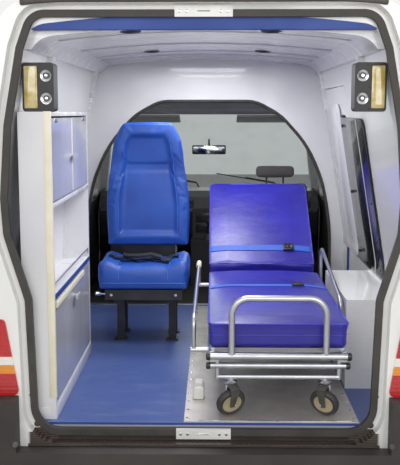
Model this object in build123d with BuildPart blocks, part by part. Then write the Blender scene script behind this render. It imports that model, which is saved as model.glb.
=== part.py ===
from build123d import *
import math
import os

os.makedirs("parts", exist_ok=True)

# Sizes are in mm. X points to the vehicle's right, Y forward, Z up from the ground.

# Body outline
body_half = 950
under_z = 250
sill_half = 895
sill_top_z = 430
belt_z = 1050
side_lean = 0.167
roof_edge_z = 2190
roof_z = 2250
roof_corner_r = 110
rear_y = -2320
nose_y = 2428
roof_break_y = -60
screen_top_y = 640
screen_top_z = 1850
cowl_y = 1330
cowl_z = 1170
screen_bow = 150
screen_foot_z = 1195
bonnet_drop = 210
bonnet_crown = 25
bonnet_corner_r = 90
nose_round = 170

# Walls and joints
wall = 85
rear_wall = 60
roof_wall = 87
screen_wall = 45
gap = 6
seam = 4
running_gap = 0.3
glass_t = 5

# Floor and inside
floor_z = 550
floor_t = 50
cab_floor_z = 520
bulkhead_y = rear_y + 2200
bulkhead_t = 30
firewall_y = 1180
firewall_t = 45

# Wheels
tyre_r = 336
tyre_w = 205
rim_r = 208
wheel_x = body_half - 122
front_axle_y = 1545
rear_axle_y = rear_y + 880
arch_r = 378
hub_r = 32
hub_fit = 0.05
kingpin_x = wheel_x - 38

# Rear opening, half widths at heights
mouth_bottom_z = 530
mouth_top_z = 2150
mouth_foot_half = body_half - 285
mouth_step_half = body_half - 270
mouth_wide_half = body_half - 185
mouth_top_half = body_half - 295
seal_w = 27
seal_t = 14
rebate_w = 50
rebate_depth = 50


def side_half(z, inset=0):
    """Half width of the leaning side at a height."""
    return body_half - inset - side_lean * max(0, z - belt_z)


def block(x0, x1, y0, y1, z0, z1, mode=Mode.ADD):
    """A box between two corners, in the active part."""
    with Locations(((x0 + x1) / 2, (y0 + y1) / 2, (z0 + z1) / 2)):
        return Box(abs(x1 - x0), abs(y1 - y0), abs(z1 - z0), mode=mode)


def rod(start, end, radius, mode=Mode.ADD):
    """A round bar between two points, in the active part."""
    run = Vector(*end) - Vector(*start)
    with BuildSketch(Plane(origin=start, z_dir=run)) as end_face:
        Circle(radius)
    return extrude(end_face.sketch, amount=run.length, mode=mode)


def tube_path(points, bend_r, tube_r):
    """A bent tube along a path with rounded corners, in the active part."""
    with BuildLine() as path:
        FilletPolyline(*points, radius=bend_r)
    route = path.wires()[0]
    with BuildSketch(Plane(origin=route @ 0, z_dir=route % 0)) as end_face:
        Circle(tube_r)
    sweep(end_face.sketch, path=route)


def side_prism(points, corner_r, grow=0, start_x=480):
    """A prism across the right side, from an outline in the side view."""
    with BuildPart() as prism:
        with BuildSketch(Plane.YZ.offset(start_x)) as outline:
            with BuildLine():
                Polyline(*points, close=True)
            make_face()
            fillet(outline.vertices(), corner_r)
            if grow:
                offset(amount=grow, mode=Mode.REPLACE)
        extrude(amount=800)
    return prism.part


# Hull of the cab and the load space
screen_run = Vector(0, screen_top_y - cowl_y, screen_top_z - cowl_z)
slope = (roof_z - screen_top_z) / (screen_top_y - roof_break_y)


def slope_y(z):
    """Where the sloping roof front reaches a height."""
    return screen_top_y - (z - screen_top_z) / slope


def make_hull(inset, roof_inset, rear_inset, front_end, base_z, screen_inset):
    """The closed body form, or its inside when it is inset."""
    edge_z = roof_edge_z - roof_inset + 15 * (inset > 0)
    crown_z = roof_z - roof_inset
    edge_half = side_half(edge_z, inset)
    with BuildPart() as form:
        with BuildSketch(Plane.XZ) as section:
            with BuildLine():
                Polyline(
                    (0, base_z),
                    (sill_half if not inset else body_half - inset, base_z),
                    (body_half - inset, sill_top_z),
                    (body_half - inset, belt_z),
                    (edge_half, edge_z),
                )
                mirror(about=Plane.YZ)
                ThreePointArc((edge_half, edge_z), (0, crown_z), (-edge_half, edge_z))
            make_face()
            shoulders = section.vertices().filter_by_position(Axis.Y, edge_z - 1, edge_z + 1)
            fillet(shoulders, roof_corner_r)
            waist = section.vertices().filter_by_position(Axis.Y, belt_z - 1, belt_z + 1)
            fillet(waist, 600)
        extrude(amount=3000, both=True)
        with BuildSketch(Plane.YZ):
            with BuildLine():
                Polyline(
                    (rear_y + rear_inset, base_z - 50),
                    (rear_y + rear_inset, 2500),
                    (slope_y(2500) - roof_inset / slope, 2500),
                    (front_end, screen_top_z - roof_inset - slope * (front_end - screen_top_y)),
                    (front_end, base_z - 50),
                    close=True,
                )
            make_face()
        extrude(amount=1500, both=True, mode=Mode.INTERSECT)
        with BuildSketch(Plane.XY.offset(cowl_z)):
            with BuildLine():
                base_y = cowl_y - 2 * screen_inset
                ThreePointArc((-1100, base_y - screen_bow), (0, base_y), (1100, base_y - screen_bow))
                Polyline(
                    (1100, base_y - screen_bow),
                    (1100, 3000),
                    (-1100, 3000),
                    (-1100, base_y - screen_bow),
                )
            make_face()
        extrude(amount=1700, dir=screen_run.normalized(), mode=Mode.SUBTRACT)
    return form.part


hull = make_hull(0, 0, 0, cowl_y, under_z, 0)
room = make_hull(wall, roof_wall, rear_wall, firewall_y, under_z - 100, screen_wall)

with BuildPart() as shell:
    add(hull)
    add(room, mode=Mode.SUBTRACT)


# Rear opening
mouth_points = [
    (mouth_foot_half, mouth_bottom_z),
    (mouth_step_half, 1060),
    (mouth_wide_half - 8, 1320),
    (mouth_wide_half, 1460),
    (mouth_wide_half - 22, 1740),
    (mouth_top_half + 34, 2030),
    (mouth_top_half - 10, mouth_top_z),
]


def mouth_sketch(grow, plane):
    """The outline of the rear opening, grown evenly, on a plane across the body."""
    with BuildSketch(plane) as outline:
        with BuildLine():
            Polyline(*mouth_points)
            Polyline(*[(-x, z) for x, z in mouth_points])
            Line(mouth_points[0], (-mouth_points[0][0], mouth_points[0][1]))
            Line(mouth_points[-1], (-mouth_points[-1][0], mouth_points[-1][1]))
        make_face()
        low = outline.vertices().filter_by_position(Axis.Y, mouth_bottom_z - 1, mouth_bottom_z + 1)
        fillet(low, 95)
        high = outline.vertices().filter_by_position(Axis.Y, mouth_top_z - 1, mouth_top_z + 1)
        fillet(high, 60)
        steps = outline.vertices().filter_by_position(Axis.Y, 1050, 1330)
        fillet(steps, 100)
        if grow:
            offset(amount=grow, mode=Mode.REPLACE)
    return outline.sketch


rear_plane = Plane.XZ.offset(-rear_y)
flange_y = rear_y + rebate_depth

with BuildPart() as mouth_cut:
    extrude(mouth_sketch(seal_w - 4, rear_plane), amount=-(rear_wall + 5))
    extrude(mouth_sketch(rebate_w, rear_plane), amount=-rebate_depth)
    extrude(mouth_sketch(rebate_w, rear_plane), amount=200)

# Front door, sliding door and window outlines in the side view, Y then Z
door_points = [(60, 400), (1118, 400), (1118, 1135), (560, 1712), (100, 1800), (60, 1760)]
door_window = [(150, 1150), (1010, 1150), (560, 1625), (190, 1690)]
slide_points = [(-1050, 400), (-165, 400), (-165, 1930), (-1050, 1930)]
slide_window = [(-970, 1190), (-250, 1190), (-250, 1780), (-970, 1780)]

door_cut = side_prism(door_points, 45, gap)
door_form = side_prism(door_points, 45)
door_glass_cut = side_prism(door_window, 50)
slide_cut = side_prism(slide_points, 60, seam)
slide_form = side_prism(slide_points, 60)
slide_glass_cut = side_prism(slide_window, 70)

with BuildPart() as roof_zone:
    with BuildSketch(Plane.YZ):
        with BuildLine():
            Polyline(
                (rear_y - 100, 2060),
                (-60, 2060),
                (450, 1780),
                (1400, 1780),
                (1400, 2500),
                (rear_y - 100, 2500),
                close=True,
            )
        make_face()
    extrude(amount=1200, both=True)

wing_start_y = door_points[1][0] + gap

with BuildPart() as windscreen_cut:
    with BuildSketch(Plane.XZ):
        with BuildLine():
            foot_half = body_half - 150
            head_half = body_half - 275
            Polyline((-foot_half, screen_foot_z), (foot_half, screen_foot_z), (head_half, 1780), (-head_half, 1780),
                     close=True)
        make_face()
    extrude(amount=-1500)
    block(-body_half, body_half, 0, 400, 1100, 1900, Mode.SUBTRACT)

with BuildPart() as rear_wells:
    for side in (-1, 1):
        well_in = side * (wheel_x - 148)
        well_out = side * (body_half + 150)
        rod((well_in, rear_axle_y, tyre_r), (well_out, rear_axle_y, tyre_r), arch_r)
        block(well_in, well_out, rear_axle_y - arch_r, rear_axle_y + arch_r, 100, tyre_r)

with BuildPart() as front_wells:
    for side in (-1, 1):
        well_in = side * (wheel_x - 308)
        well_out = side * (body_half + 150)
        rod((well_in, front_axle_y, tyre_r), (well_out, front_axle_y, tyre_r), arch_r)
        block(well_in, well_out, front_axle_y - arch_r, front_axle_y + arch_r, 100, tyre_r)

# Tail lamps sit in pockets of the rear pillars
lamp_out_x = body_half - 25
tail_lamp_points = [(lamp_out_x - 198, 682), (lamp_out_x, 682), (lamp_out_x, 990), (lamp_out_x - 147, 990)]
tail_lamp_proud = 8
tail_lamp_deep = 26
sill_end_x = body_half - 150

with BuildPart() as lamp_form:
    with BuildSketch(Plane.XZ.offset(-rear_y + tail_lamp_proud)) as lamp_outline:
        with BuildLine():
            Polyline(*tail_lamp_points, close=True)
        make_face()
        fillet(lamp_outline.vertices(), 22)
    extrude(amount=-(tail_lamp_proud + tail_lamp_deep))
tail_lamp_form = lamp_form.part

# Rear door hinges: the leaf on the pillar carries the door's own leaf above it
hinge_x = body_half - 105
hinge_y = rear_y - 25
barrel_r = 11
leaf_h = 34
rear_hinge_z = (1085, 1600)

# Right side panel: sill, pillars, wheel box and flank
wheel_box_x = body_half - 315
wheel_box_z = 960
wheel_box_back = rear_y + 510
wheel_box_front = rear_y + 1255

with BuildPart() as body_side_right:
    add(shell.part)
    block(0, 1200, rear_y - 50, cowl_y + 50, under_z - 50, 2300, Mode.INTERSECT)
    add(roof_zone.part, mode=Mode.SUBTRACT)
    block(0, 1200, wing_start_y, cowl_y + 50, under_z - 50, cowl_z, Mode.SUBTRACT)
    block(wheel_box_x, body_half - wall + 5, wheel_box_back, wheel_box_front, floor_z, wheel_box_z)
    add(mouth_cut.part, mode=Mode.SUBTRACT)
    block(0, sill_end_x, rear_y - 60, rear_y + rear_wall, under_z - 50, mouth_bottom_z, Mode.SUBTRACT)
    block(0, 800, wing_start_y, cowl_y + 50, cowl_z - 50, 1200, Mode.SUBTRACT)
    add(windscreen_cut.part, mode=Mode.SUBTRACT)
    add(door_cut, mode=Mode.SUBTRACT)
    add(slide_cut, mode=Mode.SUBTRACT)
    add(rear_wells.part, mode=Mode.SUBTRACT)
    add(tail_lamp_form, mode=Mode.SUBTRACT)
    for hinge_z in rear_hinge_z:
        block(hinge_x - 34, hinge_x, hinge_y, rear_y + 2, hinge_z, hinge_z + leaf_h)
        rod((hinge_x, hinge_y, hinge_z), (hinge_x, hinge_y, hinge_z + leaf_h), barrel_r)

left_window = side_prism(slide_window, 70)

with BuildPart() as body_side_left:
    add(shell.part)
    block(0, 1200, rear_y - 50, cowl_y + 50, under_z - 50, 2300, Mode.INTERSECT)
    add(roof_zone.part, mode=Mode.SUBTRACT)
    block(0, 1200, wing_start_y, cowl_y + 50, under_z - 50, cowl_z, Mode.SUBTRACT)
    block(wheel_box_x, body_half - wall + 5, wheel_box_back, wheel_box_front, floor_z, wheel_box_z)
    add(mouth_cut.part, mode=Mode.SUBTRACT)
    block(0, sill_end_x, rear_y - 60, rear_y + rear_wall, under_z - 50, mouth_bottom_z, Mode.SUBTRACT)
    block(0, 800, wing_start_y, cowl_y + 50, cowl_z - 50, 1200, Mode.SUBTRACT)
    add(windscreen_cut.part, mode=Mode.SUBTRACT)
    add(door_cut, mode=Mode.SUBTRACT)
    add(left_window, mode=Mode.SUBTRACT)
    add(rear_wells.part, mode=Mode.SUBTRACT)
    add(tail_lamp_form, mode=Mode.SUBTRACT)
    for hinge_z in rear_hinge_z:
        block(hinge_x - 34, hinge_x, hinge_y, rear_y + 2, hinge_z, hinge_z + leaf_h)
        rod((hinge_x, hinge_y, hinge_z), (hinge_x, hinge_y, hinge_z + leaf_h), barrel_r)
    mirror(about=Plane.YZ, mode=Mode.REPLACE)

with BuildPart() as roof:
    add(shell.part)
    add(roof_zone.part, mode=Mode.INTERSECT)
    add(mouth_cut.part, mode=Mode.SUBTRACT)


# Floor pan with rear sill, firewall, scuttle, rails and seat boxes
floor_half = body_half - wall
rail_x = 415
rail_w = 70
rail_h = 85
cab_floor_y = -60
seat_box_h = 250
cab_seat_x = body_half - 510
cab_seat_y = 330

with BuildPart() as floor_base:
    add(shell.part)
    block(-sill_end_x, sill_end_x, rear_y - 10, rear_y + rear_wall, under_z - 50, mouth_bottom_z, Mode.INTERSECT)
    add(mouth_cut.part, mode=Mode.SUBTRACT)
    block(-floor_half, floor_half, rear_y + rear_wall, cab_floor_y, floor_z - floor_t, floor_z)
    block(-floor_half, floor_half, cab_floor_y, firewall_y, cab_floor_z - floor_t, cab_floor_z)
    block(-floor_half, floor_half, firewall_y, firewall_y + firewall_t, 330, 1140)
    for side in (-1, 1):
        rail = side * rail_x
        rail_top = cab_floor_z - floor_t
        block(rail - rail_w / 2, rail + rail_w / 2, rear_y + rear_wall, firewall_y, rail_top - rail_h, rail_top)
        block(rail - rail_w / 2, rail + rail_w / 2, rear_y + rear_wall, cab_floor_y, rail_top, floor_z - floor_t)
        seat = side * cab_seat_x
        block(seat - 200, seat + 200, cab_seat_y - 210, cab_seat_y + 210, cab_floor_z, cab_floor_z + seat_box_h)
        block(side * floor_half, side * (floor_half - gap), 40, wing_start_y + 10, 380, 700, Mode.SUBTRACT)
    block(-150, 330, -950, -330, 330, floor_z - floor_t)
    add(rear_wells.part, mode=Mode.SUBTRACT)
    add(front_wells.part, mode=Mode.SUBTRACT)

# Front doors
front_hinge_x = body_half + 3
front_hinge_y = door_points[1][0] + gap / 2
front_hinge_r = 9
front_hinge_z = (560, 950)
mirror_y = 1010


def make_front_door():
    """The right front door with its mirror, handle and hinge leaves."""
    with BuildPart() as door:
        add(hull)
        add(door_form, mode=Mode.INTERSECT)
        add(room, mode=Mode.SUBTRACT)
        block(wheel_box_x, 1200, 0, 1200, 300, 2000, Mode.INTERSECT)
        add(door_glass_cut, mode=Mode.SUBTRACT)
        for z in front_hinge_z:
            rod((front_hinge_x, front_hinge_y, z - 5), (front_hinge_x, front_hinge_y, z + 35),
                front_hinge_r + 5, Mode.SUBTRACT)
            rod((front_hinge_x, front_hinge_y, z + 15.3), (front_hinge_x, front_hinge_y, z + 30), front_hinge_r)
            block(body_half - 25, front_hinge_x, door_points[1][0] - 30, front_hinge_y - 1, z + 15.3, z + 30)
        with BuildSketch(Plane.XY.offset(1205)) as head:
            with Locations((body_half + 125, mirror_y)):
                RectangleRounded(190, 95, 40)
        extrude(head.sketch, amount=290)
        rod((body_half - 25, mirror_y - 10, 1180), (body_half + 90, mirror_y, 1225), 22)
        block(body_half - 10, body_half + 32, 130, 330, 1000, 1028)
    return door.part


right_door = make_front_door()

with BuildPart() as front_door_right:
    add(right_door)

with BuildPart() as front_door_left:
    mirror(right_door, about=Plane.YZ)


def side_pane(cut, depth=7):
    """A pane of glass in a window cut of the right side."""
    with BuildPart() as pane:
        add(hull.moved(Location((-depth, 0, 0))))
        add(cut, mode=Mode.INTERSECT)
        add(hull.moved(Location((-depth - glass_t, 0, 0))), mode=Mode.SUBTRACT)
    return pane.part


door_pane = side_pane(door_glass_cut)
slide_pane = side_pane(slide_glass_cut)

with BuildPart() as front_glass_right:
    add(door_pane)

with BuildPart() as front_glass_left:
    mirror(door_pane, about=Plane.YZ)

with BuildPart() as body_glass:
    add(hull)
    add(windscreen_cut.part, mode=Mode.INTERSECT)
    add(hull.moved(Location((0, -glass_t, -glass_t))), mode=Mode.SUBTRACT)
    add(slide_pane)
    mirror(slide_pane, about=Plane.YZ)

# Sliding door on the right, held by three runners
runner_z = (500, 1080, 1820)

with BuildPart() as sliding_door:
    add(hull)
    add(slide_form, mode=Mode.INTERSECT)
    add(room, mode=Mode.SUBTRACT)
    block(wheel_box_x, 1200, -1500, 0, 300, 2100, Mode.INTERSECT)
    add(slide_glass_cut, mode=Mode.SUBTRACT)
    for z in runner_z:
        half = side_half(z)
        block(half - 70, half - 45, slide_points[0][0] - seam, slide_points[0][0] + 5, z, z + 30)
    block(body_half - 12, body_half + 30, -950, -760, 1000, 1028)

# Rear doors, made shut and then turned open about their hinges
rear_door_t = 38
rear_door_proud = 8
inner_panel_t = 28
middle_gap = 5
rear_open = 180
rear_window = (120, 590, 1250, 1790)


def make_rear_door(with_glass):
    """The right rear door, shut, or the pane in its window."""
    x0, x1, z0, z1 = rear_window
    with BuildPart() as door:
        if with_glass:
            pane_plane = Plane.XZ.offset(-rear_y + rear_door_proud - 6)
            with BuildSketch(pane_plane) as pane:
                with Locations(((x0 + x1) / 2, (z0 + z1) / 2)):
                    RectangleRounded(x1 - x0, z1 - z0, 60)
            extrude(amount=-glass_t)
        else:
            out_plane = Plane.XZ.offset(-rear_y + rear_door_proud)
            extrude(mouth_sketch(rebate_w - gap, out_plane), amount=-rear_door_t)
            in_plane = Plane.XZ.offset(-rear_y + rear_door_proud - rear_door_t)
            extrude(mouth_sketch(-20, in_plane), amount=-inner_panel_t)
            block(-900, middle_gap, rear_y - 50, rear_y + 100, 400, 2300, Mode.SUBTRACT)
            block(-900, 16, rear_y - rear_door_proud + rear_door_t, rear_y + 100, 400, 2300, Mode.SUBTRACT)
            with BuildSketch(Plane.XZ.offset(-rear_y + 50)) as opening:
                with Locations(((x0 + x1) / 2, (z0 + z1) / 2)):
                    RectangleRounded(x1 - x0, z1 - z0, 60)
            extrude(amount=-200, mode=Mode.SUBTRACT)
            for z in rear_hinge_z:
                z_low = z + leaf_h + 0.3
                z_high = z_low + leaf_h
                block(hinge_x - 155, hinge_x, hinge_y - 6, rear_y - rear_door_proud, z_low, z_high)
                rod((hinge_x, hinge_y, z_low), (hinge_x, hinge_y, z_high), barrel_r)
            block(40, 62, rear_y - 45, rear_y - rear_door_proud, 1000, 1130)
    return door.part


hinge_line = Axis((hinge_x, hinge_y, 0), (0, 0, 1))
shut_door = make_rear_door(False)
shut_pane = make_rear_door(True)
open_door = shut_door.rotate(hinge_line, rear_open)
open_pane = shut_pane.rotate(hinge_line, rear_open)

with BuildPart() as rear_door_right:
    add(open_door)

with BuildPart() as rear_door_left:
    mirror(open_door, about=Plane.YZ)

with BuildPart() as rear_glass_right:
    add(open_pane)

with BuildPart() as rear_glass_left:
    mirror(open_pane, about=Plane.YZ)

# Seal round the rear opening, cut back where the strikers' plates lie
striker_half = 110

with BuildPart() as aperture_seal:
    flange = Plane.XZ.offset(-flange_y)
    extrude(mouth_sketch(seal_w, flange), amount=seal_t)
    extrude(mouth_sketch(seal_w - 4, flange), amount=rebate_depth - rear_wall)
    extrude(mouth_sketch(0, flange), amount=100, both=True, mode=Mode.SUBTRACT)
    for z in (mouth_top_z, mouth_bottom_z):
        block(-striker_half - 1, striker_half + 1, flange_y - 50, flange_y, z - 50, z + 50, Mode.SUBTRACT)

with BuildPart() as tail_lamps:
    add(tail_lamp_form)
    mirror(tail_lamp_form, about=Plane.YZ)

# Nose: wings, bonnet, bumper, grille and headlamps are cut from one curved form
nose_slope = bonnet_drop / 870
bumper_top_z = 680
lamp_top_z = 880
lamp_in_x = 480
bonnet_half_back = body_half - 175
bonnet_half_front = body_half - 250
bonnet_start_y = cowl_y + 34
scuttle_step = 4


def make_nose(inset):
    """The closed nose form, or its inside when it is inset."""
    half = body_half - inset
    start_y = wing_start_y - 60
    tilt_y = start_y - 500
    rise = (cowl_y - tilt_y) * nose_slope
    top_z = (cowl_z - scuttle_step + rise) / math.hypot(1, nose_slope) - inset * 1.05
    front = nose_y - inset * 1.4
    with BuildPart() as form:
        tilted = Plane(origin=(0, tilt_y, 0), x_dir=(-1, 0, 0), z_dir=(0, 1, -nose_slope))
        with BuildSketch(tilted) as section:
            with BuildLine():
                edge = top_z - bonnet_crown
                Polyline((0, -400), (half, -400), (half, edge))
                mirror(about=Plane.YZ)
                ThreePointArc((half, edge), (0, top_z), (-half, edge))
            make_face()
            tops = section.vertices().filter_by_position(Axis.Y, edge - 1, edge + 1)
            fillet(tops, bonnet_corner_r)
        extrude(amount=2300)
        with BuildSketch(Plane.XY) as plan:
            with BuildLine():
                arc_end = (half - 60, front - nose_round)
                Polyline((-arc_end[0], arc_end[1]), (-half, start_y), (half, start_y), arc_end)
                ThreePointArc(arc_end, (0, front), (-arc_end[0], arc_end[1]))
            make_face()
            corners = plan.vertices().filter_by_position(Axis.Y, arc_end[1] - 1, arc_end[1] + 1)
            fillet(corners, 150)
        extrude(amount=1600, mode=Mode.INTERSECT)
        with BuildSketch(Plane.YZ) as profile:
            with BuildLine():
                Polyline(
                    (start_y, under_z - inset * 4),
                    (start_y, cowl_z),
                    (cowl_y, cowl_z + 60 * (inset == 0)),
                    (cowl_y + 60, cowl_z + 60 * (inset == 0)),
                    (front - 190, cowl_z),
                    (front - 190, 980),
                    (front - 75, 880),
                    (front - 25, bumper_top_z),
                    (front, 590),
                    (front, 340),
                    (front - 40, under_z - inset * 4),
                    close=True,
                )
            make_face()
        extrude(amount=1200, both=True, mode=Mode.INTERSECT)
    return form.part


nose_form = make_nose(0)
nose_room = make_nose(42)

with BuildPart() as nose_shell:
    add(nose_form)
    add(nose_room, mode=Mode.SUBTRACT)
    block(-1200, 1200, 1000, wing_start_y, 0, 1500, Mode.SUBTRACT)


def bonnet_zone(grow):
    """The plan of the bonnet, grown by its shut line."""
    with BuildPart() as zone:
        with BuildSketch(Plane.XY.offset(lamp_top_z + gap - grow)) as plan:
            with BuildLine():
                Polyline(
                    (-bonnet_half_back, bonnet_start_y),
                    (bonnet_half_back, bonnet_start_y),
                    (bonnet_half_front, nose_y + 50),
                    (-bonnet_half_front, nose_y + 50),
                    close=True,
                )
            make_face()
            if grow:
                offset(amount=grow, kind=Kind.INTERSECTION, mode=Mode.REPLACE)
        extrude(amount=500)
    return zone.part


with BuildPart() as front_wings:
    add(nose_shell.part)
    block(-1200, 1200, 1000, 2600, under_z, cowl_z, Mode.INTERSECT)
    add(bonnet_zone(gap), mode=Mode.SUBTRACT)
    block(-560, 560, 1000, 2600, 0, 1300, Mode.SUBTRACT)
    block(-bonnet_half_back - gap, bonnet_half_back + gap, 1000, bonnet_start_y, 900, 1300, Mode.SUBTRACT)
    block(-1200, 1200, front_axle_y + arch_r, 2600, 0, bumper_top_z, Mode.SUBTRACT)
    block(-1200, 1200, 2110, 2600, bumper_top_z - 1, lamp_top_z, Mode.SUBTRACT)
    add(front_wells.part, mode=Mode.SUBTRACT)
    block(-floor_half, floor_half, 1000, firewall_y, 300, 1300, Mode.SUBTRACT)
    block(-floor_half, floor_half, 1000, firewall_y + firewall_t, 300, 1140, Mode.SUBTRACT)
    for side in (-1, 1):
        for z in front_hinge_z:
            rod((side * front_hinge_x, front_hinge_y, z - 5), (side * front_hinge_x, front_hinge_y, z + 35),
                front_hinge_r + 5, Mode.SUBTRACT)
            rod((side * front_hinge_x, front_hinge_y, z), (side * front_hinge_x, front_hinge_y, z + 15), front_hinge_r)
            block(side * (body_half - 25), side * front_hinge_x, front_hinge_y + 1, wing_start_y + 30, z, z + 15)

# Bonnet hinges: barrels end to end on the scuttle and on the bonnet's rear edge
bonnet_shut = 12
bonnet_hinge_y = bonnet_start_y - bonnet_shut / 2
bonnet_hinge_z = 1154
bonnet_barrel_r = 7
bonnet_barrel_x = (560, 600, 640)


def bonnet_barrel(x0, x1, radius, mode=Mode.ADD):
    """A round on the bonnet's hinge line, in the active part."""
    rod((x0, bonnet_hinge_y, bonnet_hinge_z), (x1, bonnet_hinge_y, bonnet_hinge_z), radius, mode)


def hinge_room():
    """Cuts the space round both bonnet hinges from the active part."""
    for side in (-1, 1):
        bonnet_barrel(side * (bonnet_barrel_x[0] - 5), side * (bonnet_barrel_x[2] + 5), bonnet_barrel_r + 5,
                      Mode.SUBTRACT)


with BuildPart() as bonnet:
    add(nose_shell.part)
    add(bonnet_zone(0), mode=Mode.INTERSECT)
    hinge_room()
    for side in (-1, 1):
        x0 = side * (bonnet_barrel_x[1] + running_gap)
        x1 = side * bonnet_barrel_x[2]
        bonnet_barrel(x0, x1, bonnet_barrel_r)
        block(x0, x1, bonnet_hinge_y, bonnet_hinge_y + 40, bonnet_hinge_z - 26, bonnet_hinge_z - 3)

with BuildPart() as scuttle_skin:
    add(shell.part)
    block(-bonnet_half_back, bonnet_half_back, firewall_y, bonnet_start_y - bonnet_shut, cowl_z - 50,
          screen_foot_z, Mode.INTERSECT)

with BuildPart() as floor_pan:
    add(nose_shell.part)
    block(-bonnet_half_back, bonnet_half_back, firewall_y, bonnet_start_y - bonnet_shut, cowl_z - 110,
          screen_foot_z, Mode.INTERSECT)
    add(scuttle_skin.part)
    hinge_room()
    for side in (-1, 1):
        x0 = side * bonnet_barrel_x[0]
        x1 = side * bonnet_barrel_x[1]
        bonnet_barrel(x0, x1, bonnet_barrel_r)
        block(x0, x1, bonnet_hinge_y - 40, bonnet_hinge_y, bonnet_hinge_z - 26, bonnet_hinge_z - 3)
    add(floor_base.part)

with BuildPart() as headlamps:
    add(nose_shell.part)
    block(-1200, 1200, 2110, 2600, bumper_top_z, lamp_top_z, Mode.INTERSECT)
    block(-lamp_in_x, lamp_in_x, 2000, 2600, 500, 1000, Mode.SUBTRACT)

with BuildPart() as grille:
    add(nose_shell.part)
    block(-lamp_in_x, lamp_in_x, 2110, 2600, bumper_top_z, lamp_top_z, Mode.INTERSECT)
    for row in range(5):
        z = bumper_top_z + 22 + row * 33
        block(-lamp_in_x + 25, lamp_in_x - 25, 2100, 2600, z, z + 20, Mode.SUBTRACT)

with BuildPart() as front_bumper:
    add(nose_shell.part)
    block(-1200, 1200, front_axle_y + arch_r, 2600, under_z, bumper_top_z, Mode.INTERSECT)
    block(-420, 420, 2200, 2600, 350, 480, Mode.SUBTRACT)

# Rear bumper: low across the middle, high at its corners
rear_bumper_y = rear_y - 75
bumper_mid_z = 470

with BuildPart() as rear_bumper:
    with BuildSketch(Plane.XY.offset(300)) as bumper_plan:
        with BuildLine():
            Polyline(
                (0, rear_y), (body_half - 10, rear_y), (body_half - 10, rear_y + 150),
                (body_half + 12, rear_y + 150), (body_half + 12, rear_bumper_y + 45),
                (body_half - 110, rear_bumper_y), (0, rear_bumper_y),
            )
            mirror(about=Plane.YZ)
        make_face()
    extrude(amount=bumper_top_z - 300)
    block(218 - body_half, body_half - 218, rear_bumper_y - 10, rear_y, bumper_mid_z, bumper_top_z + 10, Mode.SUBTRACT)
    add(hull, mode=Mode.SUBTRACT)

# Wheels: tyre and pressed rim, each on its stub axle
rim_half = 100
disc_x = 22
stub_out = 30


def make_tyre(x, y):
    """A tyre with rounded shoulders, turned about the axle line."""
    half = tyre_w / 2
    with BuildPart() as tyre:
        with BuildSketch(Plane(origin=(x, y, tyre_r), x_dir=(1, 0, 0), z_dir=(0, -1, 0))) as profile:
            with BuildLine():
                Polyline(
                    (-half + 12, rim_r), (-half, rim_r + 35), (-half, tyre_r - 60), (-half + 14, tyre_r - 12),
                    (-half + 36, tyre_r), (half - 36, tyre_r), (half - 14, tyre_r - 12),
                    (half, tyre_r - 60), (half, rim_r + 35), (half - 12, rim_r), close=True,
                )
            make_face()
        revolve(axis=Axis((x, y, tyre_r), (1, 0, 0)))
    return tyre.part


def make_rim(x, y):
    """A pressed steel rim with ten vents and a centre cap, its bore on the stub axle."""
    out = 1 if x > 0 else -1
    with BuildPart() as rim:
        with BuildSketch(Plane(origin=(x, y, tyre_r), x_dir=(out, 0, 0), z_dir=(0, -out, 0))) as profile:
            with BuildLine():
                Polyline(
                    (-rim_half, rim_r), (-rim_half, rim_r - 14), (-rim_half + 30, rim_r - 24),
                    (disc_x - 14, rim_r - 28), (disc_x - 4, 110), (-14, 90), (-14, hub_r + hub_fit),
                    (stub_out + 1, hub_r + hub_fit), (stub_out + 1, 0), (stub_out + 16, 0),
                    (stub_out + 12, 48), (disc_x - 10, 62), (disc_x - 10, 80), (disc_x + 12, 112),
                    (disc_x + 4, rim_r - 22), (rim_half - 20, rim_r - 20), (rim_half, rim_r - 12),
                    (rim_half, rim_r), close=True,
                )
            make_face()
        revolve(axis=Axis((x, y, tyre_r), (1, 0, 0)))
        vent_plane = Plane(origin=(x - out * 120, y, tyre_r), x_dir=(0, 1, 0), z_dir=(out, 0, 0))
        with BuildSketch(vent_plane):
            with PolarLocations(147, 10):
                Circle(15)
        extrude(amount=240, mode=Mode.SUBTRACT)
    return rim.part


wheel_places = {
    "front_right": (wheel_x, front_axle_y),
    "front_left": (-wheel_x, front_axle_y),
    "rear_right": (wheel_x, rear_axle_y),
    "rear_left": (-wheel_x, rear_axle_y),
}

# Knuckles, each carrying its stub axle over a ball joint
carrier_r = 56
carrier_in_x = wheel_x - 113
pin_top_z = tyre_r - carrier_r


def make_knuckle(side):
    """A steered hub carrier with its stub axle."""
    with BuildPart() as knuckle:
        rod((side * carrier_in_x, front_axle_y, tyre_r), (side * (wheel_x - 16), front_axle_y, tyre_r), carrier_r)
        rod((side * (wheel_x - 16), front_axle_y, tyre_r), (side * (wheel_x + stub_out), front_axle_y, tyre_r), hub_r)
        rod((side * kingpin_x, front_axle_y, pin_top_z), (side * kingpin_x, front_axle_y, tyre_r), 17)
        block(side * carrier_in_x, side * (carrier_in_x + 22), front_axle_y - 24, front_axle_y + 24,
              tyre_r, tyre_r + 108)
    return knuckle.part


with BuildPart() as knuckle_right:
    add(make_knuckle(1))

with BuildPart() as knuckle_left:
    add(make_knuckle(-1))

# Front suspension: cross beam, arms, engine rails, towers and struts
beam_z = 235
front_rail_x = 455
strut_x = 600

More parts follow.
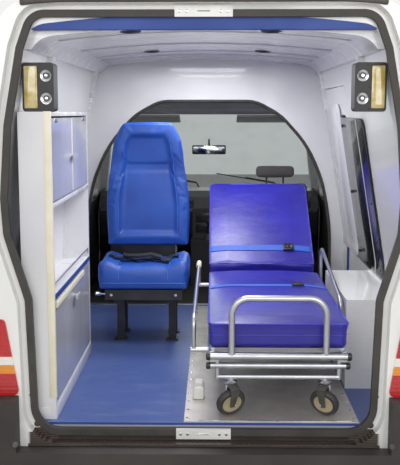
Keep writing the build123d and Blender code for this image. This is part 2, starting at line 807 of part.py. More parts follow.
with BuildPart() as front_suspension:
    block(-430, 430, front_axle_y - 110, front_axle_y + 110, beam_z, beam_z + 65)
    for side in (-1, 1):
        rail_low = cab_floor_z - floor_t - rail_h
        block(side * (front_rail_x - 35), side * (front_rail_x + 35), firewall_y + firewall_t, 2240, rail_low, rail_low + 95)
        block(side * 385, side * 425, front_axle_y - 60, front_axle_y + 60, beam_z, rail_low + 60)
        with BuildSketch(Plane.XY.offset(beam_z + 4)) as arm:
            with BuildLine():
                Polyline(
                    (side * 400, front_axle_y - 100), (side * (kingpin_x - 40), front_axle_y - 22),
                    (side * (kingpin_x + 12), front_axle_y - 14), (side * (kingpin_x + 12), front_axle_y + 14),
                    (side * (kingpin_x - 40), front_axle_y + 22), (side * 400, front_axle_y + 100), close=True,
                )
            make_face()
        extrude(arm.sketch, amount=24)
        rod((side * kingpin_x, front_axle_y, beam_z + 20), (side * kingpin_x, front_axle_y, pin_top_z - running_gap), 13)
        block(side * (front_rail_x - 20), side * (strut_x + 50), front_axle_y - 75, front_axle_y + 75, 905, 935)
        block(side * (front_rail_x - 20), side * (front_rail_x + 25), front_axle_y - 75, front_axle_y + 75, rail_low + 60, 935)
        rod((side * strut_x, front_axle_y, 262), (side * strut_x, front_axle_y, 620), 27)
        rod((side * strut_x, front_axle_y, 600), (side * strut_x, front_axle_y, 910), 15)

with BuildPart() as engine_block:
    block(-330, 330, front_axle_y - 105, front_axle_y + 330, beam_z + 65, 880)

# Rear axle beam on leaf springs
leaf_x = 560
leaf_end = 470

with BuildPart() as rear_axle:
    stub_in = wheel_x - rim_half - 5
    rod((-stub_in, rear_axle_y, tyre_r), (stub_in, rear_axle_y, tyre_r), 40)
    for side in (-1, 1):
        rod((side * stub_in, rear_axle_y, tyre_r), (side * (wheel_x - 16), rear_axle_y, tyre_r), 58)
        rod((side * (wheel_x - 16), rear_axle_y, tyre_r), (side * (wheel_x + stub_out), rear_axle_y, tyre_r), hub_r)
        with BuildSketch(Plane.YZ.offset(side * leaf_x - 30)) as leaf:
            with BuildLine():
                ThreePointArc((rear_axle_y - leaf_end, 440), (rear_axle_y, tyre_r + 36), (rear_axle_y + leaf_end, 440))
                Line((rear_axle_y + leaf_end, 440), (rear_axle_y + leaf_end, 460))
                ThreePointArc((rear_axle_y + leaf_end, 460), (rear_axle_y, tyre_r + 62), (rear_axle_y - leaf_end, 460))
                Line((rear_axle_y - leaf_end, 460), (rear_axle_y - leaf_end, 440))
            make_face()
        extrude(leaf.sketch, amount=60)
        for end in (-1, 1):
            y = rear_axle_y + end * (leaf_end - 20)
            block(side * leaf_x - 22, side * leaf_x + 22, y - 22, y + 22, 445, floor_z - floor_t)

# Exhaust under the floor
with BuildPart() as exhaust:
    tube_path([(-200, 1172, 330), (-200, 350, 330), (-240, -1000, 300), (-250, -1100, 260), (-250, -1900, 260),
               (-470, -2180, 218), (-470, -2330, 218)], 60, 26)
    block(-330, -170, -2000, -1760, 212, 318)
    block(-212, -188, 900, 930, 340, cab_floor_z - floor_t)
    block(-262, -238, -1900, -1870, 300, floor_z - floor_t)

# Ceiling liner: board, two hoops and the cab's headliner
trim_z = 2106
liner_t = 22
hoop_w = 55
liner_drop = 42
hoop_y = (rear_y + 600, rear_y + 2060)
hoop_z = 1810
trim_y = rear_y + 110
lining = make_hull(wall + liner_t, roof_wall + liner_drop, rear_wall + 30, firewall_y, under_z - 100,
                   screen_wall + liner_t)

with BuildPart() as liner_zone:
    block(-body_half, body_half, trim_y, bulkhead_y, 2035, 2300)
    for y in hoop_y:
        block(-body_half, body_half, y, y + hoop_w, hoop_z, 2300)

with BuildPart() as cab_zone:
    add(roof_zone.part)
    block(-body_half, body_half, bulkhead_y + bulkhead_t, 1200, 1500, 2300, Mode.INTERSECT)
    add(liner_zone.part)

with BuildPart() as roof_liner:
    add(room)
    add(lining, mode=Mode.SUBTRACT)
    add(cab_zone.part, mode=Mode.INTERSECT)

with BuildPart() as header_trim:
    add(room)
    block(-body_half, body_half, rear_y + rear_wall, trim_y - 1, trim_z, 2300, Mode.INTERSECT)

# Bulkhead arch between the load space and the cab: how far inside the body, at heights
arch_insets = [(165, 560), (172, 1040), (193, 1210), (228, 1368), (290, 1518), (353, 1622), (490, 1775), (650, 1863)]
arch_points = [(body_half - inset, z) for inset, z in arch_insets]
arch_half = arch_points[0][0]

with BuildPart() as bulkhead:
    add(room)
    block(-body_half, body_half, bulkhead_y, bulkhead_y + bulkhead_t, floor_z, 2300, Mode.INTERSECT)
    with BuildSketch(Plane.XZ.offset(-bulkhead_y + 5)):
        with BuildLine():
            Polyline(*arch_points)
            Polyline(*[(-x, z) for x, z in arch_points])
            Line(arch_points[0], (-arch_points[0][0], arch_points[0][1]))
            Line(arch_points[-1], (-arch_points[-1][0], arch_points[-1][1]))
        make_face()
    extrude(amount=-50, mode=Mode.SUBTRACT)
    block(-arch_half, arch_half, bulkhead_y - 5, bulkhead_y + 50, floor_z - 5, 561, Mode.SUBTRACT)

# Dashboard with its console and the steering column shroud
dash_half = body_half - 135
wheel_side = -cab_seat_x
column_tilt = 28
column_dir = Vector(0, math.cos(math.radians(column_tilt)), -math.sin(math.radians(column_tilt)))
steer_hub = Vector(wheel_side, 640, 1150)
steer_hub_len = 70
shroud_start = steer_hub + column_dir * (steer_hub_len + running_gap)

with BuildPart() as dashboard:
    with BuildSketch(Plane.YZ.offset(-dash_half)):
        with BuildLine():
            Polyline((firewall_y, 760), (1010, 760), (900, 880), (845, 1060), (870, 1165), (960, 1205), (firewall_y, 1212),
                     close=True)
        make_face()
    extrude(amount=2 * dash_half)
    block(-130, 130, 700, 1020, cab_floor_z, 860)
    block(-120, 120, 820, 1000, 850, 1080)
    rod(tuple(shroud_start), tuple(shroud_start + column_dir * 260), 42)
    add(room, mode=Mode.INTERSECT)
    block(-body_half, body_half, firewall_y, firewall_y + 100, 500, 1500, Mode.SUBTRACT)

with BuildPart() as steering_wheel:
    wheel_plane = Plane(origin=steer_hub, x_dir=(1, 0, 0), z_dir=column_dir)
    with BuildSketch(Plane(origin=steer_hub + Vector(190, 0, 0), x_dir=(1, 0, 0), z_dir=Vector(1, 0, 0).cross(column_dir))) as rim_cut:
        Circle(15)
    revolve(axis=Axis(steer_hub, column_dir))
    with BuildSketch(wheel_plane.offset(-8)) as spokes:
        Circle(62)
        with Locations((-115, 0), (115, 0)):
            Rectangle(140, 34)
        with Locations((0, 115), (0, -115)):
            Rectangle(30, 140)
    extrude(amount=16)
    rod(tuple(steer_hub), tuple(steer_hub + column_dir * steer_hub_len), 34)

# Cab seats on their boxes
seat_base_z = cab_floor_z + seat_box_h


def make_cab_seat(x):
    """One bucket seat with its head restraint."""
    with BuildPart() as seat:
        with BuildSketch(Plane.YZ.offset(x - 240)) as side_shape:
            with BuildLine():
                Polyline(
                    (cab_seat_y + 230, seat_base_z), (cab_seat_y + 245, seat_base_z + 120), (cab_seat_y - 80, seat_base_z + 105),
                    (cab_seat_y - 190, 1350), (cab_seat_y - 300, 1350), (cab_seat_y - 220, seat_base_z), close=True,
                )
            make_face()
            fillet(side_shape.vertices(), 30)
        extrude(amount=480)
        block(x - 130, x + 130, cab_seat_y - 305, cab_seat_y - 215, 1330, 1450)
    return seat.part


with BuildPart() as cab_seats:
    add(make_cab_seat(cab_seat_x))
    add(make_cab_seat(-cab_seat_x))

# Loading plate and stretcher
plate_x1 = wheel_box_x - 7
plate_x0 = plate_x1 - 708
plate_t = 4
bed_x = wheel_box_x - 332
bed_foot_y = rear_y + 120
bed_hinge_y = rear_y + 1380
bed_z = floor_z + 288
pad_half = 298
pad_t = 112
back_len = 800
back_angle = 35
rail_half = 272
tube_r = 15
caster_r = 62
caster_x = 192
caster_y = (rear_y + 126, rear_y + 1750)
rail_z = bed_z - tube_r - 6
foot_rod_y = bed_foot_y - 28
foot_rail_half = 190
foot_rail_z = bed_z + pad_t + 105
head_rod_y = bed_hinge_y + 625
head_rod_drop = 36
pad_mitre = math.tan(math.radians(35))
pad_clear = 8
rest_t = 100
side_rail_r = 9
right_rail = (313, rear_y + 560, 950, rear_y + 1310, 1077)
left_rail = (-345, rear_y + 190, 955, rear_y + 1570, 955)

with BuildPart() as loading_plate:
    block(plate_x0, plate_x1, rear_y + rear_wall + 4, bulkhead_y - 10, floor_z, floor_z + plate_t)

deck_top = floor_z + plate_t

with BuildPart() as stretcher_frame:
    for side in (-1, 1):
        x = bed_x + side * rail_half
        rod((x, bed_foot_y, rail_z), (x, bed_hinge_y + 640, rail_z), tube_r)
        rod((x, head_rod_y, rail_z), (x, head_rod_y, rail_z - head_rod_drop), tube_r - 3)
        rod((x, foot_rod_y, rail_z), (x, bed_foot_y + 5, rail_z), tube_r - 3)
    for y in (bed_foot_y + 60, bed_foot_y + 420, bed_foot_y + 840, bed_hinge_y - 110):
        rod((bed_x - rail_half, y, rail_z), (bed_x + rail_half, y, rail_z), tube_r - 2)
    rod((bed_x - rail_half, head_rod_y, rail_z - head_rod_drop),
        (bed_x + rail_half, head_rod_y, rail_z - head_rod_drop), tube_r - 2)
    block(bed_x - rail_half, bed_x + rail_half, bed_foot_y + 30, bed_hinge_y - 120, rail_z + 6, bed_z - 0.3)
    rod((bed_x - 290, foot_rod_y, rail_z), (bed_x + 290, foot_rod_y, rail_z), tube_r - 1)
    tube_path([(bed_x - foot_rail_half, foot_rod_y, rail_z), (bed_x - foot_rail_half, foot_rod_y, foot_rail_z),
               (bed_x + foot_rail_half, foot_rod_y, foot_rail_z), (bed_x + foot_rail_half, foot_rod_y, rail_z)],
              70, 13)
    for offset_x, y0, z0, y1, z1 in (right_rail, left_rail):
        x = bed_x + offset_x
        inner_x = bed_x + math.copysign(rail_half, offset_x)
        tube_path([(x, y0, rail_z), (x, y0, z0), (x, y1, z1), (x, y1, rail_z)], 45, side_rail_r)
        for y in (y0, y1):
            rod((inner_x, y, rail_z), (x + math.copysign(side_rail_r + 4, offset_x), y, rail_z), side_rail_r + 2)

with BuildPart() as stretcher_legs:
    for y in caster_y:
        rod((bed_x - 290, y, deck_top + 215), (bed_x + 290, y, deck_top + 215), 13)
        rod((bed_x - 248, y, deck_top + 168), (bed_x + 248, y, deck_top + 168), 11)
        for side in (-1, 1):
            x = bed_x + side * 248
            rod((x, y, deck_top + 160), (x, y, rail_z - tube_r), 10)
            rod((bed_x + side * caster_x, y, deck_top + 2 * caster_r + 8), (bed_x + side * caster_x, y, deck_top + 168), 14)
            for cheek in (-1, 1):
                cx = bed_x + side * caster_x + cheek * 19
                block(cx - 2, cx + 2, y - 16, y + 16, deck_top + caster_r - 14, deck_top + 2 * caster_r + 12)
            block(bed_x + side * caster_x - 21, bed_x + side * caster_x + 21, y - 16, y + 16,
                  deck_top + 2 * caster_r + 6, deck_top + 2 * caster_r + 14)
            block(min(x, bed_x + side * rail_half) - 6, max(x, bed_x + side * rail_half) + 6, y - 12, y + 12,
                  rail_z - tube_r - 14, rail_z - tube_r)

with BuildPart() as stretcher_casters:
    for y in caster_y:
        for side in (-1, 1):
            x = bed_x + side * caster_x
            rod((x - 16.7, y, deck_top + caster_r), (x + 16.7, y, deck_top + caster_r), caster_r)
    fillet(stretcher_casters.edges().filter_by(GeomType.CIRCLE), 6)



def pad_block(y_end, thickness, way):
    """A pad of the stretcher, cut slanting at the backrest's hinge, from its side outline."""
    near = bed_hinge_y + way * (pad_clear + (bed_z - rail_z) * pad_mitre)
    far = near + way * thickness * pad_mitre
    with BuildPart() as pad:
        with BuildSketch(Plane.YZ.offset(bed_x - pad_half)) as outline:
            with BuildLine():
                Polyline((near, bed_z), (y_end, bed_z), (y_end, bed_z + thickness), (far, bed_z + thickness),
                         close=True)
            make_face()
        extrude(outline.sketch, amount=2 * pad_half)
        end_edges = pad.edges().filter_by(Axis.Z)
        fillet(end_edges, 30)
    return pad.part


with BuildPart() as stretcher_mattress:
    add(pad_block(bed_foot_y, pad_t, -1))

back_line = Axis((0, bed_hinge_y, rail_z), (1, 0, 0))

with BuildPart() as back_flat:
    far_y = bed_hinge_y + back_len - 20
    tube_path([(bed_x - 235, bed_hinge_y, rail_z), (bed_x - 235, far_y, rail_z),
               (bed_x + 235, far_y, rail_z), (bed_x + 235, bed_hinge_y, rail_z)], 60, 12)
    rod((bed_x - rail_half + tube_r + 0.5, bed_hinge_y, rail_z), (bed_x + rail_half - tube_r - 0.5, bed_hinge_y, rail_z),
        10)
    block(bed_x - 230, bed_x + 230, bed_hinge_y + 30, far_y - 8, rail_z + 6, bed_z - 0.3)

with BuildPart() as stretcher_backrest:
    add(back_flat.part.rotate(back_line, back_angle))

with BuildPart() as stretcher_back_pad:
    add(pad_block(bed_hinge_y + back_len, rest_t, 1).rotate(back_line, back_angle))

# Attendant's seat, facing the rear doors
seat_x = -330
seat_front_y = rear_y + 1140
seat_back_y = rear_y + 1600
seat_frame_z = floor_z + 318
seat_half = 240

with BuildPart() as seat_frame:
    block(seat_x - 205, seat_x + 205, seat_front_y + 30, seat_back_y - 10, seat_frame_z - 55, seat_frame_z)
    block(seat_x - 180, seat_x + 180, seat_front_y + 60, seat_back_y - 40, seat_frame_z - 60, seat_frame_z + 5, Mode.SUBTRACT)
    for side in (-1, 1):
        x = seat_x + side * 142
        for y in (seat_front_y + 235, seat_back_y - 50):
            block(x - 20, x + 20, y - 14, y + 14, floor_z, seat_frame_z - 30)
            block(x - 34, x + 34, y - 40, y + 30, floor_z, floor_z + 8)
        block(x - 20, x + 20, seat_front_y + 40, seat_back_y - 20, seat_frame_z - 40, seat_frame_z - 20)
    block(seat_x - 150, seat_x + 150, seat_back_y - 12, seat_back_y + 10, seat_frame_z - 55, seat_frame_z + 560)

with BuildPart() as seat_cushion:
    block(seat_x - seat_half, seat_x + seat_half, seat_front_y, seat_back_y - 90, seat_frame_z, seat_frame_z + 170)
    fillet(seat_cushion.edges().filter_by(Axis.X), 35)

with BuildPart() as seat_pads:
    add(seat_cushion.part)
    with BuildSketch(Plane.XZ.offset(-(seat_back_y - 87.3))) as back_outline:
        with BuildLine():
            Polyline(
                (seat_x - 235, seat_frame_z + 175), (seat_x - 235, seat_frame_z + 420), (seat_x - 190, seat_frame_z + 780),
                (seat_x - 140, seat_frame_z + 875), (seat_x + 140, seat_frame_z + 875), (seat_x + 190, seat_frame_z + 780),
                (seat_x + 235, seat_frame_z + 420), (seat_x + 235, seat_frame_z + 175), close=True,
            )
        make_face()
        fillet(back_outline.vertices(), 30)
    extrude(amount=-75)

# Cabinets on the left: face plane, shelf heights
face_x = 350 - body_half
cab_back_x = 222 - body_half
cab_y0 = rear_y + 90
cab_y1 = rear_y + 1090
board = 18
cab_top_z = floor_z + 1245
shelf_z = floor_z + 865
counter_z = floor_z + 515
flap_t = 16
pin_r = 5
pin_fit = 0.3

with BuildPart() as cabinet:
    for y in (cab_y0, cab_y1 - board):
        block(cab_back_x, face_x, y, y + board, floor_z, cab_top_z)
    block(cab_back_x, cab_back_x + 8, cab_y0, cab_y1, counter_z - 60, cab_top_z)
    block(cab_back_x, face_x, cab_y0, cab_y1, cab_top_z - board, cab_top_z)
    block(cab_back_x, face_x, cab_y0, cab_y1, shelf_z, shelf_z + board)
    block(cab_back_x, face_x, cab_y0, cab_y1, counter_z - 25, counter_z)
    block(face_x - board, face_x, cab_y0, cab_y1, floor_z, floor_z + 60)
    block(-body_half, -wheel_box_x, wheel_box_back - 2, wheel_box_front + 2, floor_z, wheel_box_z + 2, Mode.SUBTRACT)
    upper_pin = (face_x - 10, cab_top_z - board - 12)
    lower_pin = (face_x - 10, floor_z + 72)
    for x, z in (upper_pin, lower_pin):
        rod((x, cab_y0 + 4, z), (x, cab_y1 - 4, z), pin_r + pin_fit, Mode.SUBTRACT)

with BuildPart() as upper_cabinet_door:
    x, z = upper_pin
    block(face_x - flap_t, face_x - 1, cab_y0 + board + 6, cab_y1 - board - 6, shelf_z + board + 6, z + pin_r)
    rod((x, cab_y0 + 5, z), (x, cab_y1 - 5, z), pin_r)
    rod((face_x - 4, (cab_y0 + cab_y1) / 2, 1600), (face_x + 22, (cab_y0 + cab_y1) / 2, 1600), 9)
    block(face_x + 14, face_x + 24, (cab_y0 + cab_y1) / 2 - 42, (cab_y0 + cab_y1) / 2 + 42, 1591, 1609)

with BuildPart() as lower_cabinet_door:
    x, z = lower_pin
    block(face_x - flap_t, face_x - 1, cab_y0 + board + 6, cab_y1 - board - 6, z - pin_r, counter_z - 31)
    rod((x, cab_y0 + 5, z), (x, cab_y1 - 5, z), pin_r)
    rod((face_x - 4, (cab_y0 + cab_y1) / 2, 960), (face_x + 22, (cab_y0 + cab_y1) / 2, 960), 9)
    block(face_x + 14, face_x + 24, (cab_y0 + cab_y1) / 2 - 42, (cab_y0 + cab_y1) / 2 + 42, 951, 969)

# Loading lamps in the top rear corners, door strikers and roof beacons
with BuildPart() as corner_lamps:
    for side in (-1, 1):
        x = side * (body_half - 302)
        block(x - 62, x + 62, rear_y + 112, rear_y + 200, cab_top_z, cab_top_z + 190)
    fillet(corner_lamps.edges().filter_by(Axis.Y), 14)

with BuildPart() as door_strikers:
    block(-striker_half, striker_half, flange_y - 12, flange_y, mouth_top_z, mouth_top_z + 42)
    block(-striker_half, striker_half, flange_y - 12, flange_y, mouth_bottom_z - 42, mouth_bottom_z)

beacon_y = -330

with BuildPart() as beacons:
    block(-560, 560, beacon_y - 70, beacon_y + 70, roof_z - 60, roof_z + 34)
    for side in (-1, 1):
        with BuildSketch(Plane.XY.offset(roof_z + 34)) as dome:
            with Locations((side * 370, beacon_y)):
                RectangleRounded(360, 132, 60)
        extrude(dome.sketch, amount=85, taper=6)
    add(hull, mode=Mode.SUBTRACT)


pieces = {
    "floor_pan": floor_pan,
    "body_side_right": body_side_right,
    "body_side_left": body_side_left,
    "roof": roof,
    "aperture_seal": aperture_seal,
    "tail_lamps": tail_lamps,
    "body_glass": body_glass,
    "sliding_door": sliding_door,
    "front_door_right": front_door_right,
    "front_door_left": front_door_left,
    "front_glass_right": front_glass_right,
    "front_glass_left": front_glass_left,
    "rear_door_right": rear_door_right,
    "rear_door_left": rear_door_left,
    "rear_glass_right": rear_glass_right,
    "rear_glass_left": rear_glass_left,
    "front_wings": front_wings,
    "bonnet": bonnet,
    "headlamps": headlamps,
    "grille": grille,
    "front_bumper": front_bumper,
    "rear_bumper": rear_bumper,
    "knuckle_right": knuckle_right,
    "knuckle_left": knuckle_left,
    "front_suspension": front_suspension,
    "engine_block": engine_block,
    "rear_axle": rear_axle,
    "exhaust": exhaust,
    "roof_liner": roof_liner,
    "header_trim": header_trim,
    "bulkhead": bulkhead,
    "dashboard": dashboard,
    "steering_wheel": steering_wheel,
    "cab_seats": cab_seats,
    "loading_plate": loading_plate,
    "stretcher_frame": stretcher_frame,
    "stretcher_legs": stretcher_legs,
    "stretcher_casters": stretcher_casters,
    "stretcher_mattress": stretcher_mattress,
    "stretcher_backrest": stretcher_backrest,
    "stretcher_back_pad": stretcher_back_pad,
    "seat_frame": seat_frame,
    "seat_pads": seat_pads,
    "cabinet": cabinet,
    "upper_cabinet_door": upper_cabinet_door,
    "lower_cabinet_door": lower_cabinet_door,
    "corner_lamps": corner_lamps,
    "door_strikers": door_strikers,
    "beacons": beacons,
}

for place, (x, y) in wheel_places.items():
    with BuildPart() as tyre:
        add(make_tyre(x, y))
    with BuildPart() as rim:
        add(make_rim(x, y))
    pieces["tyre_" + place] = tyre
    pieces["rim_" + place] = rim

for name, piece in pieces.items():
    piece.part.label = name
    export_step(piece.part, f"parts/{name}.step")
    print(name, len(piece.part.solids()), round(piece.part.volume / 1e9, 4))
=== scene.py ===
import bpy
import bmesh
import math
from mathutils import Matrix, Vector


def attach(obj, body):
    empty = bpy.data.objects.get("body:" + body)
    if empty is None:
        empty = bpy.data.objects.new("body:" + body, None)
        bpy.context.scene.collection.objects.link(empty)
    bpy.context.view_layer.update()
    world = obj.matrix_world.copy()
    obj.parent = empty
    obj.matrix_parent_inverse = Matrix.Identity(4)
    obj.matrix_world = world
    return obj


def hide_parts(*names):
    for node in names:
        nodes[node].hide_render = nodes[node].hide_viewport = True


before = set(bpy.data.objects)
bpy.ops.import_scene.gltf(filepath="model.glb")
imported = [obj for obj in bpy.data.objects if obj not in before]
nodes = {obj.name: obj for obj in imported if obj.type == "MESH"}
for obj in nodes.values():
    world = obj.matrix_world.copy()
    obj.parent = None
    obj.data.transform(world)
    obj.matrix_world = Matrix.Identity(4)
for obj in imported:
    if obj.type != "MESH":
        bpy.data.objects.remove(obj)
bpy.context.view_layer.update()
wall = {"inner": 0.865, "lean": 0.167, "waist": 1.05}
rayFrom = {"side": 1.4, "front": 3.0, "rear": -3.0}
print("frame loaded:", len(nodes), "nodes")


# modelling helpers

def deselect():
    if bpy.context.mode != "OBJECT":
        bpy.ops.object.mode_set(mode="OBJECT")
    bpy.ops.object.select_all(action="DESELECT")


def choose(piece):
    deselect()
    bpy.context.view_layer.objects.active = piece
    piece.select_set(True)


def addShape(kind, **shape):
    # a primitive at its size and place, with the place put into its mesh
    deselect()
    getattr(bpy.ops.mesh, "primitive_" + kind + "_add")(**shape)
    bpy.ops.object.transform_apply(location=True, rotation=True, scale=True)
    return bpy.context.object


def pick(piece, test, mode="FACE"):
    # opens the piece in edit mode with what passes the test selected
    choose(piece)
    bpy.ops.object.mode_set(mode="EDIT")
    bpy.ops.mesh.select_mode(type=mode)
    bpy.ops.mesh.select_all(action="DESELECT")
    mesh = bmesh.from_edit_mesh(piece.data)
    for item in {"FACE": mesh.faces, "EDGE": mesh.edges, "VERT": mesh.verts}[mode]:
        if test(item):
            item.select_set(True)
    mesh.select_flush_mode()
    bmesh.update_edit_mesh(piece.data)


def facing(x, y, z, least=0.9):
    aim = Vector((x, y, z)).normalized()
    return lambda face: face.normal.dot(aim) > least


def slide(x, y, z):
    bpy.ops.transform.translate(value=(x, y, z))


def pull(x, y, z):
    bpy.ops.mesh.extrude_region_move(TRANSFORM_OT_translate={"value": (x, y, z)})


def insets(piece, chosen, *steps):
    # insets the chosen faces once for each (width, depth)
    pick(piece, chosen)
    for width, depth in steps:
        bpy.ops.mesh.inset(thickness=width, depth=depth)
    deselect()
    return piece


def cutLevel(piece, heights):
    for height in heights:
        pick(piece, lambda f: True)
        bpy.ops.mesh.bisect(plane_co=(0, 0, height), plane_no=(0, 0, 1))


def closeUp(merge=None):
    # ends an edit with all faces turned outward, and points closer than merge made one
    bpy.ops.mesh.select_all(action="SELECT")
    if merge:
        bpy.ops.mesh.remove_doubles(threshold=merge)
    bpy.ops.mesh.normals_make_consistent(inside=False)
    deselect()


def tilt(degrees, y, z):
    # a turn about the line across the part at y and z
    return (Matrix.Translation((0, y, z)) @ Matrix.Rotation(math.radians(degrees), 4, "X")
            @ Matrix.Translation((0, -y, -z)))


def applied(piece, kind, **settings):
    choose(piece)
    made = piece.modifiers.new(kind.title(), kind)
    for key, value in settings.items():
        setattr(made, key, value)
    bpy.ops.object.modifier_apply(modifier=made.name)
    return piece


def rounded(piece, width, segments=2, angle=40):
    return applied(piece, "BEVEL", width=width, segments=segments, limit_method="ANGLE",
                   angle_limit=math.radians(angle), use_clamp_overlap=True)


def block(low, high, edge=0.0, segments=2):
    # a cuboid between two corners with its edges eased
    low, high = Vector(low), Vector(high)
    piece = addShape("cube", size=1, location=(low + high) / 2, scale=high - low)
    return rounded(piece, edge, segments) if edge else piece


def line(points):
    # a run of edges through the points, open in edit mode and selected all over
    points = [Vector(p) for p in points]
    piece = addShape("plane", size=0.01, location=points[0])
    pick(piece, lambda v: True, "VERT")
    bpy.ops.mesh.merge(type="CENTER")
    for before, after in zip(points, points[1:]):
        bpy.ops.mesh.extrude_vertices_move(TRANSFORM_OT_translate={"value": after - before})
    bpy.ops.mesh.select_all(action="SELECT")
    return piece


def slab(points, depth, edge=0.0, segments=2):
    # a flat outline pulled along depth
    piece = line(points)
    bpy.ops.mesh.edge_face_add()
    pull(*depth)
    closeUp()
    return rounded(piece, edge, segments) if edge else piece


def ribbon(points, across, thick, edge=0.0, even=True):
    # a band: a run of edges pulled sideways, then given its thickness
    piece = line(points)
    pull(*across)
    closeUp()
    applied(piece, "SOLIDIFY", thickness=thick, offset=0, use_even_offset=even)
    return rounded(piece, edge, 2, 50) if edge else piece


def turned(profile, centre, axis, steps=32):
    # profile points are (distance from the axis, distance along it)
    centre, axis = Vector(centre), Vector(axis).normalized()
    out = axis.orthogonal().normalized()
    piece = line([centre + axis * along + out * away for away, along in profile])
    bpy.ops.mesh.spin(steps=steps, angle=math.tau, center=centre, axis=axis)
    closeUp(merge=0.00002)
    return piece


def tube(points, radius, bend=0.0, sides=3, steps=5):
    # a round bar along a run of points, its corners bent
    piece = line(points)
    if bend:
        pick(piece, lambda v: len(v.link_edges) == 2, "VERT")
        bpy.ops.mesh.bevel(offset=bend, segments=steps, affect="VERTICES", clamp_overlap=True)
    choose(piece)
    bpy.ops.object.convert(target="CURVE")
    curve = bpy.context.object.data
    curve.bevel_depth = radius
    curve.bevel_resolution = sides
    curve.use_fill_caps = True
    bpy.ops.object.convert(target="MESH")
    return bpy.context.object


def copied(piece, shift=(0, 0, 0), flip=False, turn=None):
    twin = piece.copy()
    twin.data = piece.data.copy()
    bpy.context.collection.objects.link(twin)
    if turn:
        twin.data.transform(turn)
    twin.data.transform(Matrix.Translation(shift))
    if flip:
        twin.data.transform(Matrix.Scale(-1, 4, (1, 0, 0)))
        twin.data.flip_normals()
    return twin


def joined(pieces):
    deselect()
    for piece in pieces:
        piece.select_set(True)
    bpy.context.view_layer.objects.active = pieces[0]
    bpy.ops.object.join()
    return bpy.context.object


def bothSides(piece):
    return joined([piece, copied(piece, flip=True)])


def settle(piece, name, finish, body="body", angle=35):
    # names the piece, gives it its finish and the body it rides on
    choose(piece)
    piece.name = name
    piece.data.name = name
    piece.data.materials.clear()
    piece.data.materials.append(finish)
    bpy.ops.object.shade_smooth_by_angle(angle=math.radians(angle))
    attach(piece, body)
    return piece


# finishes

def tone(code, alpha=1.0):
    # a screen colour as Blender's linear one
    parts = [int(code[i:i + 2], 16) / 255 for i in (1, 3, 5)]
    return [((c + 0.055) / 1.055) ** 2.4 if c > 0.04045 else c / 12.92 for c in parts] + [alpha]


def sums(operation, swapped=False):
    # a Python operator that adds a Math node
    def use(self, other=0.0):
        return self.maths(operation, other, self) if swapped else self.maths(operation, self, other)
    return use


class Wire:
    # a socket of a material that sums and products can be written with
    def __init__(self, tree, socket=None):
        self.tree = tree
        self.socket = socket

    def feed(self, slot, value):
        if isinstance(value, Wire):
            self.tree.links.new(value.socket, slot)
        else:
            slot.default_value = value

    def node(self, kind, settings=None, sockets=None, out=0):
        made = self.tree.nodes.new("ShaderNode" + kind)
        for key, value in (settings or {}).items():
            setattr(made, key, value)
        for key, value in (sockets or {}).items():
            self.feed(made.inputs[key], value)
        return Wire(self.tree, made.outputs[out])

    def maths(self, operation, first, second):
        return self.node("Math", {"operation": operation}, {0: first, 1: second})

    __add__ = sums("ADD")
    __radd__ = sums("ADD", True)
    __sub__ = sums("SUBTRACT")
    __rsub__ = sums("SUBTRACT", True)
    __mul__ = sums("MULTIPLY")
    __rmul__ = sums("MULTIPLY", True)
    __abs__ = sums("ABSOLUTE")
    larger = sums("MAXIMUM")
    smaller = sums("MINIMUM")
    sine = sums("SINE")

    def parts(self):
        split = self.tree.nodes.new("ShaderNodeSeparateXYZ")
        self.tree.links.new(self.socket, split.inputs[0])
        return [Wire(self.tree, split.outputs[i]) for i in range(3)]

    def stretched(self, x, y, z, place=(0, 0, 0)):
        return self.node("Mapping", {}, {"Vector": self, "Scale": (x, y, z), "Location": place})

    def noise(self, scale, detail=2.0, rough=0.5):
        return self.node("TexNoise", {}, {"Vector": self, "Scale": scale, "Detail": detail, "Roughness": rough})

    def cells(self, scale, feature="F1"):
        return self.node("TexVoronoi", {"feature": feature}, {"Vector": self, "Scale": scale})

    def ramp(self, low, high):
        return self.node("MapRange", {"clamp": True}, {"Value": self, "From Min": low, "From Max": high})

    def blend(self, first, second):
        # a colour between two, by this value
        return self.node("Mix", {"data_type": "RGBA"}, {0: self, 6: first, 7: second}, 2)

    def between(self, low, high, edge=0.002):
        # 1 inside a range of the value, 0 outside it
        return self.ramp(low - edge, low) * self.ramp(high + edge, high)


def blankFinish(name):
    # a new material with its shader and a wire of the place on the part
    finish = bpy.data.materials.new(name)
    finish.use_nodes = True
    start = Wire(finish.node_tree)
    return finish, finish.node_tree.nodes["Principled BSDF"], start, start.node("TexCoord", out=3)


def newFinish(name, recipe, bump=None, **fixed):
    # recipe gives what varies over the surface, fixed sets the shader's own sockets
    finish, shader, start, place = blankFinish(name)
    for key, value in fixed.items():
        shader.inputs[key.replace("_", " ")].default_value = value
    varied = recipe(place)
    height = varied.pop("height", None)
    if height:
        strength, distance = bump
        varied["Normal"] = start.node("Bump", {}, {"Height": height, "Strength": strength, "Distance": distance})
    for key, value in varied.items():
        start.feed(shader.inputs[key], value)
    return finish


def grained(name, colour, shade, rough, grain=400.0, patch=3.0, bump=(0.15, 0.0005), spread=0.08, pattern="noise",
            **fixed):
    # moulded plastic, paint or vinyl: soft patches of a second shade and an even grain
    def recipe(place):
        patches = place.noise(patch, 3).ramp(0.35, 0.7)
        fine = place.noise(grain, 2) if pattern == "noise" else place.cells(grain)
        return {"Base Color": (patches * 0.8 + fine * 0.2).blend(tone(colour), tone(shade)),
                "Roughness": fine * spread + patches * spread + (rough - spread),
                "height": fine}
    return newFinish(name, recipe, bump, **fixed)


